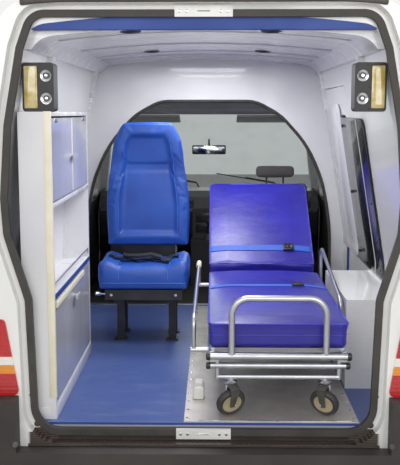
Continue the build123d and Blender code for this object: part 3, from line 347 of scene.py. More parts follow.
def brushed(name, colour, shade, rough, along=(400, 400, 8), bump=(0.12, 0.0003)):
    # bare metal with drawn lines along one way and a few duller patches
    def recipe(place):
        lines = place.stretched(*along).noise(1.0, 4, 0.6)
        dull = place.noise(9, 3).ramp(0.4, 0.75)
        return {"Base Color": (lines * 0.6 + dull * 0.4).blend(tone(colour), tone(shade)),
                "Roughness": lines * 0.18 + dull * 0.12 + (rough - 0.12),
                "height": lines}
    return newFinish(name, recipe, bump, Metallic=1.0)


def glazed(name, colour, clear, part, rough=0.02):
    # window glass: mostly see-through, more mirror at a slant
    finish, shader, start, place = blankFinish(name)
    smear = place.noise(6, 4).ramp(0.45, 0.8)
    shader.inputs["Base Color"].default_value = tone(colour)
    shader.inputs["Specular IOR Level"].default_value = 0.9
    start.feed(shader.inputs["Roughness"], smear * 0.05 + rough)
    through = start.node("BsdfTransparent", {}, {"Color": tone(clear)})
    slant = start.node("LayerWeight", {}, {"Blend": 0.25}, 1)
    mixed = start.node("MixShader", {}, {0: slant * 0.6 + smear * 0.04 + part, 1: through,
                                         2: Wire(start.tree, shader.outputs[0])})
    start.feed(start.tree.nodes["Material Output"].inputs["Surface"], mixed)
    return finish


def roadDust(place, z, full=0.3):
    # dust in patches, from none at 0.75 m to its most at the height full
    return place.noise(14, 5, 0.6).ramp(0.4, 0.75) * z.ramp(0.75, full)


def wallReach(x, z):
    # how far out a point is, with the lean of the walls taken off above the waist
    return abs(x) + (z - wall["waist"]).larger(0.0) * wall["lean"]


def bodyPaint(place):
    z = place.parts()[2]
    peel = place.noise(260, 2)
    wave = place.noise(2.2, 2)
    dust = roadDust(place, z)
    return {"Base Color": (dust * 0.5 + wave * 0.12).blend(tone("#f1f1ee"), tone("#b9b4a8")),
            "Roughness": dust * 0.35 + peel * 0.05 + 0.16, "height": peel * 0.3 + wave}


def sidePaint(place):
    # outside: the same paint; inside: glossy white lining with drawn-out ripples
    x, y, z = place.parts()
    inside = wallReach(x, z).ramp(0.925, 0.905) * y.ramp(-2.262, -2.255)
    peel = place.noise(260, 2)
    wave = place.stretched(1, 1, 0.5).noise(3.2, 3)
    dust = roadDust(place, z) * (1 - inside)
    scuffs = place.stretched(3, 3, 14).noise(5, 4, 0.7).ramp(0.55, 0.85) * inside
    return {"Base Color": (dust * 0.5 + scuffs * 0.35 + inside * 0.12).blend(tone("#f1f1ee"), tone("#aeb0bb")),
            "Roughness": dust * 0.35 + peel * 0.05 + scuffs * 0.2 + 0.14, "height": peel * 0.2 + wave}


def liningGloss(place):
    # moulded ceiling lining, light grey, with long streaks in its roughness that also paint highlight and shade
    # into its grey, and lines of painted highlight along the ribs
    roughStreaksAndSheen = place.stretched(1.4, 9, 4).noise(2.4, 5, 0.65)
    ripple = place.stretched(1, 0.7, 1).noise(4.5, 2)
    ribs = place.stretched(0.9, 11, 7).noise(2.1, 3, 0.5)
    # painted highlight: near-white lines along the rib noise where the ripple is high
    paintedHighlight = (1 - abs(ribs - 0.5).ramp(0.0, 0.035)) * ripple.ramp(0.35, 0.6)
    # painted highlight and shade: the streaks make the grey lighter and darker
    paintedSheenShade = roughStreaksAndSheen.ramp(0.35, 0.75).blend(tone("#e6e4e6"), tone("#bdbabf"))
    return {"Base Color": (paintedHighlight * 0.8).blend(paintedSheenShade, tone("#fbfbfb")),
            "Roughness": roughStreaksAndSheen * 0.2 + 0.07, "height": ripple * 0.9 + ribs * 0.35}


def floorPan(place):
    # vinyl on the load floor, dark mat in the cab, paint on the sill and scuttle, dark underbody, and ribbed rubber
    # below the sill in light and dark stripes of painted rib highlight and shade
    x, y, z = place.parts()
    vinyl = z.ramp(0.547, 0.5485) * z.ramp(0.56, 0.555) * y.ramp(-2.262, -2.26) * y.ramp(-0.055, -0.06)
    sill = y.ramp(-2.258, -2.262) * z.ramp(0.33, 0.36)
    scuttle = z.ramp(1.04, 1.05)
    painted = sill.larger(scuttle)
    flecks = place.cells(190).ramp(0.05, 0.3)
    paleFlecks = place.stretched(1, 1, 1, (3.1, 1.7, 0.4)).cells(150).ramp(0.04, 0.2)
    scuffed = place.stretched(2, 7, 2).noise(3, 4, 0.65).ramp(0.5, 0.8)
    grit = place.noise(35, 4)
    vinylTone = (1 - paleFlecks).blend((1 - flecks).blend(tone("#4a5f9c"), tone("#36467e")), tone("#7d8fc0"))
    vinylTone = (scuffed * 0.3).blend(vinylTone, tone("#8490ab"))
    underTone = grit.blend(tone("#232322"), tone("#3a3733"))
    paintTone = (grit * 0.15).blend(tone("#efefec"), tone("#b9b4a8"))
    # painted highlight and shade: light and dark stripes across the sill rubber stand in for the lit tops and
    # shaded grooves of its ribs
    ribLightAndShade = (z * 700).sine().ramp(-0.6, 0.8)
    sillRubber = y.ramp(-2.258, -2.262) * z.ramp(0.440, 0.445) * z.ramp(0.538, 0.532) * abs(x).ramp(0.70, 0.69)
    paintTone = sillRubber.blend(paintTone, ribLightAndShade.blend(tone("#2f2622"), tone("#5d5048")))
    return {"Base Color": painted.blend(vinyl.blend(underTone, vinylTone), paintTone),
            "Roughness": painted * -0.4 + vinyl * -0.3 + grit * 0.1 + scuffed * 0.08 + 0.62,
            "height": place.noise(380, 2) * 0.4 + grit * 0.3}


def lampRed(place):
    # red lens with a pale and an amber band, ribbed across
    z = place.parts()[2]
    ribs = (z * 420.0).sine()
    amber = z.between(0.772, 0.802)
    pale = z.between(0.806, 0.838)
    tint = amber.blend(place.noise(30, 2).blend(tone("#d20f16"), tone("#a90a12")), tone("#e8921e"))
    return {"Base Color": pale.blend(tint, tone("#f0ece4")), "Roughness": ribs * 0.03 + 0.12, "height": ribs}


def beaconShell(place):
    # pale bar below, blue domes with lens ribs above
    x, _, z = place.parts()
    dome = z.ramp(2.283, 2.2845)
    ribs = (x * 260.0).sine()
    return {"Base Color": dome.blend(tone("#e9e9e6"), ribs.ramp(-1, 1).blend(tone("#0b2f9c"), tone("#1c4fd0"))),
            "Roughness": place.noise(90, 2) * 0.08 + 0.1, "height": ribs * dome}


def doorShell(place):
    # outside paint, dark trim inside, dark mirror head and handle
    x, _, z = place.parts()
    trim = wallReach(x, z).ramp(0.905, 0.895) * z.ramp(1.2, 1.16)
    head = abs(x).ramp(0.958, 0.962) * z.ramp(0.985, 0.99)
    dark = trim.larger(head)
    peel = place.noise(260, 2)
    grain = place.cells(420)
    dust = roadDust(place, z, 0.35) * (1 - dark)
    paint = (dust * 0.5).blend(tone("#f1f1ee"), tone("#b9b4a8"))
    return {"Base Color": dark.blend(paint, grain.blend(tone("#2b2b2d"), tone("#3d3d40"))),
            "Roughness": dark * 0.35 + dust * 0.3 + peel * 0.05 + 0.17, "height": grain * dark + peel * 0.2}


def tyreRubber(place):
    dusty = place.noise(18, 4, 0.6).ramp(0.4, 0.75)
    fine = place.noise(500, 2)
    return {"Base Color": dusty.blend(tone("#1b1b1c"), tone("#33302c")),
            "Roughness": dusty * 0.12 + fine * 0.1 + 0.66, "height": fine + dusty * 0.4}


def exhaustSteel(place):
    rust = place.noise(22, 5, 0.65).ramp(0.42, 0.68)
    return {"Base Color": rust.blend(tone("#8b8783"), tone("#5a3c2a")), "Metallic": 1 - rust * 0.8,
            "Roughness": rust * 0.4 + 0.4, "height": rust + place.noise(240, 2) * 0.3}


def speckledCloth(place):
    # woven seat cloth: crossing threads with a fleck
    warp, weft = [place.node("TexWave", {"bands_direction": way}, {"Vector": place, "Scale": 260.0}, 1)
                  for way in "XZ"]
    weave = (warp + weft) * 0.5
    fleck = place.cells(240).ramp(0.0, 0.25)
    return {"Base Color": (weave * 0.5 + (1 - fleck) * 0.4).blend(tone("#3c3a3b"), tone("#6a6568")),
            "Roughness": weave * 0.1 + 0.78, "height": weave}


def coatedFabric(dark, light, rough, creaseScale):
    # coated mattress cloth: tiny weave under a glossy coat, long soft creases, with painted highlight on their
    # ridges and painted shade in their hollows
    def recipe(place):
        creasesAndTheirShade = place.stretched(1, 2.2, 1).noise(creaseScale, 4, 0.6)
        weave = place.cells(900)
        patches = place.noise(4, 3).ramp(0.35, 0.7)
        # painted highlight and shade: the colour follows the creases, lighter on the ridges and darker in the
        # hollows, mixed with random patches
        return {"Base Color": (creasesAndTheirShade * 0.5 + patches * 0.5).blend(tone(dark), tone(light)),
                "Roughness": creasesAndTheirShade * 0.16 + weave * 0.06 + rough, "height": creasesAndTheirShade + weave * 0.06}
    return recipe


def vinylHide(dark, light, rough):
    # seat vinyl: pebbled grain with finer folds
    def recipe(place):
        pebbles = place.cells(520, "SMOOTH_F1")
        folds = place.stretched(1, 1, 2).noise(16, 4, 0.6)
        patches = place.noise(5, 3).ramp(0.35, 0.7)
        return {"Base Color": (patches * 0.6 + pebbles * 0.3).blend(tone(dark), tone(light)),
                "Roughness": pebbles * 0.1 + folds * 0.1 + rough, "height": pebbles * 0.25 + folds}
    return recipe


white = newFinish("bodyPaint", bodyPaint, (0.08, 0.0012), Coat_Weight=0.6, Coat_Roughness=0.05)
sides = newFinish("sidePaint", sidePaint, (0.12, 0.004), Coat_Weight=0.5, Coat_Roughness=0.06)
lining = newFinish("glossLining", liningGloss, (0.3, 0.02), Coat_Weight=0.4, Coat_Roughness=0.08)
pan = newFinish("floorVinylAndPan", floorPan, (0.2, 0.0006))
doorSkin = newFinish("doorPaintAndTrim", doorShell, (0.12, 0.0008), Coat_Weight=0.3, Coat_Roughness=0.06)
redLens = newFinish("tailLens", lampRed, (0.4, 0.001), Coat_Weight=1.0, Coat_Roughness=0.03)
blueDome = newFinish("beaconShell", beaconShell, (0.4, 0.001), Coat_Weight=1.0, Coat_Roughness=0.03)
rubber = newFinish("tyreRubber", tyreRubber, (0.25, 0.0008))
rusty = newFinish("exhaustSteel", exhaustSteel, (0.4, 0.0015))
cabCloth = newFinish("cabCloth", speckledCloth, (0.5, 0.0008), Sheen_Weight=0.3)
mattressSkin = newFinish("mattressVinyl", coatedFabric("#211a80", "#2f2cab", 0.22, 9.0), (0.5, 0.006),
                         Coat_Weight=0.25, Coat_Roughness=0.22)
strapWeb = newFinish("strapWebbing", coatedFabric("#2a4fb0", "#3f6fd6", 0.45, 60.0), (0.4, 0.0008))
seatHide = newFinish("seatVinyl", vinylHide("#153f94", "#2457b4", 0.33), (0.35, 0.0012))
seatChannelHide = newFinish("seatChannelVinyl", vinylHide("#2a5cb8", "#3f78d2", 0.38), (0.35, 0.0012))
blueTrim = grained("blueTrim", "#24489c", "#1c3a86", 0.5, 600, 4, (0.3, 0.0006))
sealBlack = grained("sealRubber", "#34322f", "#46423e", 0.62, 350, 12, (0.25, 0.0008))
darkMould = grained("darkPlastic", "#252526", "#38373a", 0.52, 480, 5, (0.35, 0.0006), pattern="cells")
bumperMould = grained("bumperPlastic", "#2a2624", "#3b3633", 0.55, 420, 6, (0.4, 0.0008), pattern="cells")
brownDrip = grained("dripMoulding", "#39332f", "#4a433d", 0.42, 300, 8, (0.2, 0.0006))
greyLaminate = grained("greyLaminate", "#b4b4bd", "#c9c8cd", 0.2, 320, 2.5, (0.06, 0.0006), Coat_Weight=0.4)
whitePanel = grained("whitePanel", "#e4e4e6", "#d3d3d8", 0.28, 320, 2.5, (0.06, 0.0006), Coat_Weight=0.3)
cream = grained("creamEdging", "#f0ead6", "#e4dcc2", 0.42, 300, 9, (0.1, 0.0005))
beigeHub = grained("beigeHub", "#b5a888", "#9c8f70", 0.5, 300, 12, (0.15, 0.0006))
casterTread = grained("casterTread", "#2c2b2b", "#444040", 0.6, 300, 25, (0.25, 0.0006))
webbing = grained("beltWebbing", "#141415", "#232325", 0.6, 700, 20, (0.5, 0.0006))
buckleBlack = grained("bucklePlastic", "#19191b", "#2a2a2c", 0.35, 500, 20, (0.2, 0.0004))
paleGrey = grained("palePlastic", "#c9c8c4", "#b5b3ae", 0.4, 300, 8, (0.12, 0.0005))
amberLens = grained("amberLens", "#b59a3c", "#e6dcae", 0.10, 60, 20, (0.25, 0.0008), Coat_Weight=1.0)
orangeLens = grained("orangeLens", "#d2511a", "#ec7a2a", 0.14, 200, 20, (0.25, 0.0008), Coat_Weight=1.0)
clearLens = grained("lampLens", "#dfe3e4", "#c3c9cb", 0.08, 200, 12, (0.3, 0.001), Coat_Weight=1.0)
plateWhite = grained("plateBlank", "#f0f0ec", "#dcdcd6", 0.35, 200, 6, (0.08, 0.0004))
darkFrit = grained("windowSurround", "#121314", "#1d1e20", 0.2, 300, 6, (0.08, 0.0004), Coat_Weight=0.5)
castGrey = grained("castMetal", "#6d6c6a", "#55524e", 0.55, 160, 14, (0.6, 0.0012), Metallic=0.6)
chassisBlack = grained("chassisPaint", "#202022", "#34312e", 0.5, 120, 12, (0.4, 0.001))
seatSteel = grained("seatFrameSteel", "#26272b", "#3a3b40", 0.38, 260, 8, (0.2, 0.0006), Metallic=0.4)
rimPaint = grained("rimSilver", "#b9bbbe", "#9b9c9d", 0.34, 300, 9, (0.12, 0.0005), Metallic=0.75)
alloy = brushed("alloyTube", "#cfd0d4", "#9fa0a6", 0.34)
plate = brushed("brushedPlate", "#dedad5", "#b7b2ad", 0.60, (500, 5, 60), (0.2, 0.0004))
chrome = brushed("brightSteel", "#dcdcde", "#b4b4b8", 0.2, (60, 60, 60), (0.05, 0.0002))
mirrorFace = brushed("mirrorFace", "#d5dadd", "#c8ced2", 0.14, (3, 3, 3), (0.02, 0.0002))
glass = glazed("windowGlass", "#17191a", "#d3d8d8", 0.10)
screenGlass = glazed("screenGlass", "#17191a", "#e8ecec", 0.05)
print("finishes made")

nodeFinishes = {
    white: ("roof", "front_wings", "bonnet", "rear_door_right", "rear_door_left"),
    sides: ("body_side_right", "body_side_left", "sliding_door"),
    doorSkin: ("front_door_right", "front_door_left"),
    pan: ("floor_pan",),
    lining: ("roof_liner",),
    whitePanel: ("bulkhead", "cabinet"),
    greyLaminate: ("upper_cabinet_door", "lower_cabinet_door"),
    blueTrim: ("header_trim",),
    sealBlack: ("aperture_seal",),
    redLens: ("tail_lamps",),
    blueDome: ("beacons",),
    clearLens: ("headlamps",),
    screenGlass: ("body_glass",),
    glass: ("front_glass_right", "front_glass_left", "rear_glass_right", "rear_glass_left"),
    darkMould: ("dashboard", "steering_wheel", "corner_lamps"),
    bumperMould: ("front_bumper", "rear_bumper", "grille"),
    plateWhite: ("door_strikers",),
    castGrey: ("knuckle_right", "knuckle_left", "engine_block"),
    chassisBlack: ("front_suspension", "rear_axle"),
    rusty: ("exhaust",),
    seatSteel: ("seat_frame",),
    alloy: ("stretcher_frame", "stretcher_legs", "stretcher_backrest"),
    casterTread: ("stretcher_casters",),
    plate: ("loading_plate",),
    rubber: ("tyre_front_right", "tyre_front_left", "tyre_rear_right", "tyre_rear_left"),
    rimPaint: ("rim_front_right", "rim_front_left", "rim_rear_right", "rim_rear_left"),
    seatHide: ("seat_pads",),
    mattressSkin: ("stretcher_mattress", "stretcher_back_pad"),
    cabCloth: ("cab_seats",),
}
for finish, names in nodeFinishes.items():
    for name in names:
        for spot in nodes[name].material_slots:
            spot.material = finish


# soft goods

def onSkin(pad, point, lift=0.0):
    _, place, normal, _ = pad.closest_point_on_mesh(Vector(point))
    return place + normal * lift


def stuffed(pad, voxel, cap, held=None, rests=None, pressure=4.0, smooth=True):
    # cloth blown out by its filling; held marks the seams, rests is the height of what it lies on
    applied(pad, "REMESH", mode="VOXEL", voxel_size=voxel)
    before = [point.co.copy() for point in pad.data.vertices]
    choose(pad)
    if held:
        seams = pad.vertex_groups.new(name="seams")
        seams.add([point.index for point in pad.data.vertices if held(point.co)], 1.0, "REPLACE")
    cloth = pad.modifiers.new("Cloth", "CLOTH")
    cloth.settings.quality = 4
    cloth.settings.use_pressure = True
    cloth.settings.uniform_pressure_force = pressure
    cloth.settings.effector_weights.gravity = 0
    if held:
        cloth.settings.vertex_group_mass = "seams"
    cloth.point_cache.frame_start = 1
    cloth.point_cache.frame_end = 20
    for moment in range(1, 21):
        bpy.context.scene.frame_set(moment)
    bpy.ops.object.modifier_apply(modifier=cloth.name)
    bpy.context.scene.frame_set(1)
    pad.vertex_groups.clear()
    for point, was in zip(pad.data.vertices, before):
        way = point.co - was
        if way.length > cap:
            point.co = was + way * (cap / way.length)
        if rests is not None:
            point.co.z = max(point.co.z, rests)
    if smooth:
        applied(pad, "SUBSURF", levels=1, render_levels=1)
    return pad


def piping(pad, points, radius, closed=True):
    # a sewn welt that follows the pad's skin through a loop of points
    run = []
    loop = points + points[:1] if closed else points
    for before, after in zip(loop, loop[1:]):
        before, after = Vector(before), Vector(after)
        steps = max(1, int((after - before).length / 0.02))
        run += [onSkin(pad, before.lerp(after, i / steps)) for i in range(steps)]
    run.append(run[0] if closed else onSkin(pad, loop[-1]))
    return tube(run, radius, sides=1)


def strapOver(pad, section, across, thick=0.0025, lift=0.002):
    # flat webbing laid over a pad, from points round its section
    across = Vector(across)
    run = [onSkin(pad, point, lift) - across / 2 for point in section]
    return ribbon(run, across, thick, even=False)


bed = {"x": 0.303, "half": 0.291, "foot": -2.195, "hinge": -0.940, "hingeZ": 0.817, "low": 0.8395, "high": 0.945,
       "mitre": 0.7002, "backEnd": -0.146, "backHigh": 0.933, "corner": 0.032, "tilt": 35}
tilted = tilt(bed["tilt"], bed["hinge"], bed["hingeZ"])


def padForm(nearY, farY, low, high, way, corner):
    # a mattress half from its side outline, mitred at the hinge and rounded at its far end
    slant = (high - low) * bed["mitre"]
    left = bed["x"] - bed["half"]
    pad = slab([(left, nearY, low), (left, farY, low), (left, farY, high), (left, nearY + way * slant, high)],
               (2 * bed["half"], 0, 0))
    pick(pad, lambda e: abs((e.verts[0].co - e.verts[1].co).normalized().z) > 0.99
         and abs(e.verts[0].co.y - farY) < 0.001, "EDGE")
    bpy.ops.mesh.bevel(offset=corner, segments=5, affect="EDGES")
    deselect()
    return rounded(pad, 0.012, 3, 30)


def rim(near, far, z, corner=0.02):
    # the outline of a pad in plan at a height
    x0, x1 = bed["x"] - bed["half"], bed["x"] + bed["half"]
    way = math.copysign(corner, far - near)
    return [(x0, near, z), (x0, far - way, z), (x0 + corner, far, z), (x1 - corner, far, z), (x1, far - way, z),
            (x1, near, z)]


mattress = padForm(bed["hinge"] - 0.028, bed["foot"], bed["low"], bed["high"], -1, bed["corner"])
mattress = stuffed(mattress, 0.010, 0.011, rests=0.8385,
                   held=lambda p: p.z > 0.936 and (abs(p.x - bed["x"]) > 0.282 or p.y < bed["foot"] + 0.008))
settle(mattress, "mattressPad", mattressSkin, angle=60)
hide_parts("stretcher_mattress")
welts = [piping(mattress, rim(bed["hinge"] - 0.10, bed["foot"], 0.947), 0.0042),
         piping(mattress, rim(bed["hinge"] - 0.05, bed["foot"], 0.893), 0.003, closed=False)]
weltVinyl = newFinish("weltVinyl", coatedFabric("#2e2c9c", "#4646c4", 0.3, 40.0), (0.2, 0.0005))
settle(joined(welts), "mattressWelts", weltVinyl, angle=60)

backPad = padForm(bed["hinge"] + 0.028, bed["backEnd"], bed["low"], bed["backHigh"], 1, bed["corner"])
backPad = stuffed(backPad, 0.010, 0.011, rests=0.8385,
                  held=lambda p: p.z > 0.924 and (abs(p.x - bed["x"]) > 0.282 or p.y > bed["backEnd"] - 0.008))
backWelts = joined([piping(backPad, rim(bed["hinge"] + 0.10, bed["backEnd"], 0.935), 0.0042),
                    piping(backPad, rim(bed["hinge"] + 0.05, bed["backEnd"], 0.882), 0.003, closed=False)])

strap = {"width": 0.042, "bedY": -1.465, "backY": -0.725, "buckle": (0.058, 0.05, 0.013)}


def overSection(y, high):
    x0, x1 = bed["x"] - bed["half"] - 0.02, bed["x"] + bed["half"] + 0.02
    side = [0.855, 0.875, 0.9, 0.92]
    top = [x0 + 0.02 + i * (x1 - x0 - 0.04) / 24 for i in range(25)]
    return [(x0, y, z) for z in side] + [(x, y, high + 0.03) for x in top] + [(x1, y, z) for z in side[::-1]]


def buckleAt(pad, x, y, high):
    # a moulded clasp on its doubled webbing
    seat = onSkin(pad, (x, y, high), 0.009)
    wide, deep, tall = strap["buckle"]
    clasp = block(seat - Vector((wide, deep, tall)) / 2, seat + Vector((wide, deep, tall)) / 2, 0.004, 2)
    insets(clasp, facing(0, 0, 1, 0.95), (0.006, 0), (0.003, -0.003))
    button = block(seat + Vector((-0.012, -0.011, 0.004)), seat + Vector((0.012, 0.011, 0.0078)), 0.002, 2)
    return joined([clasp, button])


bedStrap = strapOver(mattress, overSection(strap["bedY"], 0.945), (0, strap["width"], 0))
settle(bedStrap, "bedStrap", strapWeb, angle=50)
settle(buckleAt(mattress, 0.449, strap["bedY"], 0.97), "bedStrapBuckle", buckleBlack)
backStrap = strapOver(backPad, overSection(strap["backY"], 0.933), (0, strap["width"], 0))
backBuckle = buckleAt(backPad, 0.455, strap["backY"], 0.96)
for piece, name, finish in ((backPad, "backPad", mattressSkin), (backWelts, "backPadWelts", weltVinyl),
                            (backStrap, "backStrap", strapWeb), (backBuckle, "backStrapBuckle", buckleBlack)):
    piece.data.transform(tilted)
    settle(piece, name, finish, body="backrest", angle=60)
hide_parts("stretcher_back_pad")
print("stretcher pads made")

# attendant's seat
seat = {"x": -0.330, "front": -1.172, "back": -0.820, "backFace": -0.8015, "backRear": -0.737}


def acrossSeat(pairs, y):
    right = [(seat["x"] + x, y, z) for x, z in pairs]
    return right + [(2 * seat["x"] - x, y, z) for x, y, z in right[::-1]]


cushion = slab(acrossSeat([(0.232, 0.874), (0.234, 1.016), (0.205, 1.028), (0.165, 1.014), (0.120, 0.994)],
                          seat["front"]), (0, seat["back"] - seat["front"], 0))
pick(cushion, lambda e: all(abs(v.co.y - seat["front"]) < 0.001 and v.co.z > 0.95 for v in e.verts), "EDGE")
bpy.ops.mesh.bevel(offset=0.035, segments=4, affect="EDGES")
deselect()
rounded(cushion, 0.012, 3, 30)
stuffed(cushion, 0.008, 0.006, rests=0.8685, pressure=3.0,
        held=lambda p: p.z < 0.9 or (abs(abs(p.x - seat["x"]) - 0.125) < 0.006 and p.z > 0.97))
settle(cushion, "seatCushion", seatHide, angle=60)

outline = [(0.228, 1.050), (0.230, 1.285), (0.186, 1.640), (0.138, 1.735)]
seatBack = slab(acrossSeat(outline, seat["backRear"]), (0, seat["backFace"] - seat["backRear"], 0))
insets(seatBack, facing(0, -1, 0, 0.99), (0.062, 0), (0.016, -0.018))
crease = (1.475, 1.505)
cutLevel(seatBack, crease[::-1])
pick(seatBack, lambda f: f.normal.y < -0.95 and crease[0] < f.calc_center_median().z < crease[1]
     and abs(f.calc_center_median().x - seat["x"]) < 0.1)
slide(0, 0.012, 0)
deselect()
rounded(seatBack, 0.010, 2, 30)
stuffed(seatBack, 0.007, 0.005, pressure=3.0,
        held=lambda p: p.y > seat["backRear"] - 0.012 or (p.y > seat["backFace"] + 0.012 and 1.47 < p.z < 1.51))
settle(seatBack, "seatBack", seatHide, angle=60)
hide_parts("seat_pads")

seams = []
for side in (-1, 1):
    x = seat["x"] + side * 0.128
    seams.append(piping(cushion, [(x, -1.18, 0.93), (x, -1.17, 1.02), (x, -0.85, 1.02)], 0.0022, closed=False))
    top = seat["x"] + side * 0.112
    seams.append(piping(seatBack, [(seat["x"] + side * 0.150, -0.83, 1.09), (seat["x"] + side * 0.146, -0.83, 1.30),
                                   (top, -0.83, 1.64)], 0.0022, closed=False))
seams.append(piping(cushion, [(-0.56, -1.2, 0.905), (-0.10, -1.2, 0.905)], 0.0026, closed=False))
settle(joined(seams), "seatSeams", seatChannelHide, angle=60)

lap = {"y": -1.02, "width": 0.048}
section = [(-0.335 + 0.19 * i / 12, lap["y"] + 0.03 * math.sin(i * 0.9), 1.05) for i in range(-12, 13)]
lapRun = [onSkin(cushion, point, 0.003 + 0.006 * abs(math.sin(i * 0.7))) for i, point in enumerate(section)]
lapBelt = ribbon([point - Vector((0, lap["width"] / 2, -0.004)) for point in lapRun], (0, lap["width"], 0), 0.006,
                 even=False)
fold = [(-0.24, -1.075, 1.012), (-0.30, -1.05, 1.022), (-0.36, -1.085, 1.02), (-0.42, -1.06, 1.016),
        (-0.45, -1.0, 1.012)]
folded = ribbon([(x, y, z + 0.012) for x, y, z in fold], (0, 0.046, 0.006), 0.012, even=False)
tongue = block((-0.235, -1.09, 1.006), (-0.19, -1.045, 1.022), 0.004)
settle(joined([lapBelt, folded, tongue]), "seatLapBelt", webbing, angle=50)
print("attendant's seat made")

lever = tube([(-0.48, -1.12, 0.845), (-0.545, -1.15, 0.845), (-0.565, -1.165, 0.85)], 0.006, 0.012)
knob = turned([(0, -0.016), (0.011, -0.013), (0.013, 0), (0.010, 0.013), (0, 0.016)], (-0.567, -1.168, 0.851),
              (-0.6, -0.3, 0.1), 20)
bolts = [turned([(0, 0.008), (0.007, 0.007), (0.009, 0.0)], (x, y, 0.558), (0, 0, 1), 6)
         for x in (-0.472, -0.188) for y in (-0.945, -0.770)]
bolts += [turned([(0, 0.006), (0.008, 0.005), (0.010, -0.001)], (x, -1.151, 0.840), (0, -1, 0), 6)
          for x in (-0.50, -0.16)]
settle(joined([lever, knob] + bolts), "seatLeverAndBolts", chrome)

# cab seats: one modelled and simulated, the other its copy
cabSeatX = 0.440


def cabPad(points, halfWidth, edge):
    return slab([(cabSeatX - halfWidth, y, z) for y, z in points], (2 * halfWidth, 0, 0), edge, 3)


squab = cabPad([(0.12, 0.775), (0.55, 0.775), (0.56, 0.87), (0.27, 0.862), (0.20, 0.89)], 0.228, 0.035)
rest = cabPad([(0.13, 0.86), (0.24, 0.885), (0.135, 1.335), (0.035, 1.345)], 0.222, 0.035)
headRest = cabPad([(0.04, 1.375), (0.112, 1.372), (0.105, 1.445), (0.045, 1.448)], 0.125, 0.022)
cabParts = []
for part, cell, reach in ((squab, 0.012, 0.010), (rest, 0.012, 0.010), (headRest, 0.009, 0.006)):
    if part is not headRest:
        insets(part, facing(0, 0.75, 0.65, 0.6), (0.055, -0.004))
    cabParts.append(stuffed(part, cell, reach, smooth=False))
seatPair = joined(cabParts)
twin = copied(seatPair, (-2 * cabSeatX, 0, 0))
settle(seatPair, "cabSeatPassenger", cabCloth, angle=60)
settle(twin, "cabSeatDriver", cabCloth, angle=60)
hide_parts("cab_seats")
posts = [tube([(x, 0.082, 1.33), (x, 0.076, 1.40)], 0.006) for x in (0.385, 0.495)]
backing = block((0.225, 0.028, 0.84), (0.655, 0.060, 1.30), 0.02, 3)
backing.data.transform(Matrix.Translation((0, 0.075, 0)) @ tilt(12, 0.045, 0.86))
postSet = joined(posts + [backing])
settle(joined([postSet, copied(postSet, (-2 * cabSeatX, 0, 0))]), "cabSeatShells", darkMould)
print("cab seats made")


def struck(node, start, way, lift=0.0):
    # where a ray meets the node, lifted off its skin, or None where it meets nothing
    hit, place, normal, _ = nodes[node].ray_cast(Vector(start), Vector(way).normalized())
    return place + normal * lift if hit else None


def skinAt(node, start, way, lift=0.0):
    # the same, but the ray's own start where it meets nothing
    place = struck(node, start, way, lift)
    return Vector(start) if place is None else place


# stretcher fittings
def screwHead(place, way, radius=0.006, height=0.003, steps=20):
    profile = [(0, height), (radius * 0.7, height * 0.9), (radius, height * 0.25), (radius, -0.001)]
    return turned(profile, place, way, steps)


casters = {"x": (0.111, 0.495), "y": (-2.194, -0.570), "z": 0.616}
treadShape = turned([(0.040, -0.014), (0.054, -0.016), (0.060, -0.010), (0.062, 0), (0.060, 0.010), (0.054, 0.016),
                      (0.040, 0.014)], (0, 0, 0), (0, 1, 0), 40)
hubShape = turned([(0, 0.019), (0.008, 0.019), (0.009, 0.0155), (0.030, 0.0150), (0.032, 0.0135), (0.036, 0.0150),
                    (0.041, 0.0145), (0.041, -0.0145), (0, -0.019)], (0, 0, 0), (0, 1, 0), 40)
forkArm = slab([(-0.011, 0.0195, 0.012), (0.011, 0.0195, 0.012), (0.014, 0.0195, -0.030), (0.020, 0.0195, -0.078),
                (-0.020, 0.0195, -0.078), (-0.014, 0.0195, -0.030)], (0, 0.004, 0), 0.0012, 2)
forkArm.data.transform(Matrix.Rotation(math.pi, 4, "Y"))
forkTop = block((-0.021, -0.0235, 0.070), (0.021, 0.0235, 0.0785), 0.002)
forkShape = joined([forkArm, copied(forkArm, (0, -0.043, 0)), forkTop])
treadSet, hubSet, forkSet = [], [], []
for x, turn in zip(casters["x"], (24, -30)):
    for y in casters["y"]:
        swivel = Matrix.Rotation(math.radians(turn), 4, "Z") @ Matrix.Rotation(math.radians(22), 4, "X")
        lift = Matrix.Translation((x, y, casters["z"]))
        for model, kept in ((treadShape, treadSet), (hubShape, hubSet), (forkShape, forkSet)):
            kept.append(copied(model, turn=lift @ swivel))
for model in (treadShape, hubShape, forkShape):
    bpy.data.objects.remove(model)
treads = joined(treadSet)
settle(treads, "casterTreads", casterTread)
settle(joined(hubSet), "casterHubs", beigeHub)
settle(joined(forkSet), "casterForks", castGrey)
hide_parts("stretcher_casters")
collars = [turned([(0.013, 0.0), (0.024, 0.002), (0.026, 0.008), (0.018, 0.014), (0.0145, 0.015)], (x, y, 0.694),
                  (0, 0, 1), 24) for x in casters["x"] for y in casters["y"]]
settle(joined(collars), "casterSwivels", chrome)

caps = []
for x, way in ((0.013, -1), (0.593, 1)):
    caps.append(turned([(0, 0.004), (0.012, 0.0035), (0.0162, 0), (0.0162, -0.014), (0.0142, -0.014)],
                       (x, -2.228, 0.817), (way, 0, 0), 24))
    for y in casters["y"]:
        caps.append(turned([(0, 0.004), (0.011, 0.0035), (0.0150, 0), (0.0150, -0.014), (0.0132, -0.014)],
                           (x, y, 0.769), (way, 0, 0), 24))
settle(joined(caps), "stretcherEndCaps", buckleBlack)

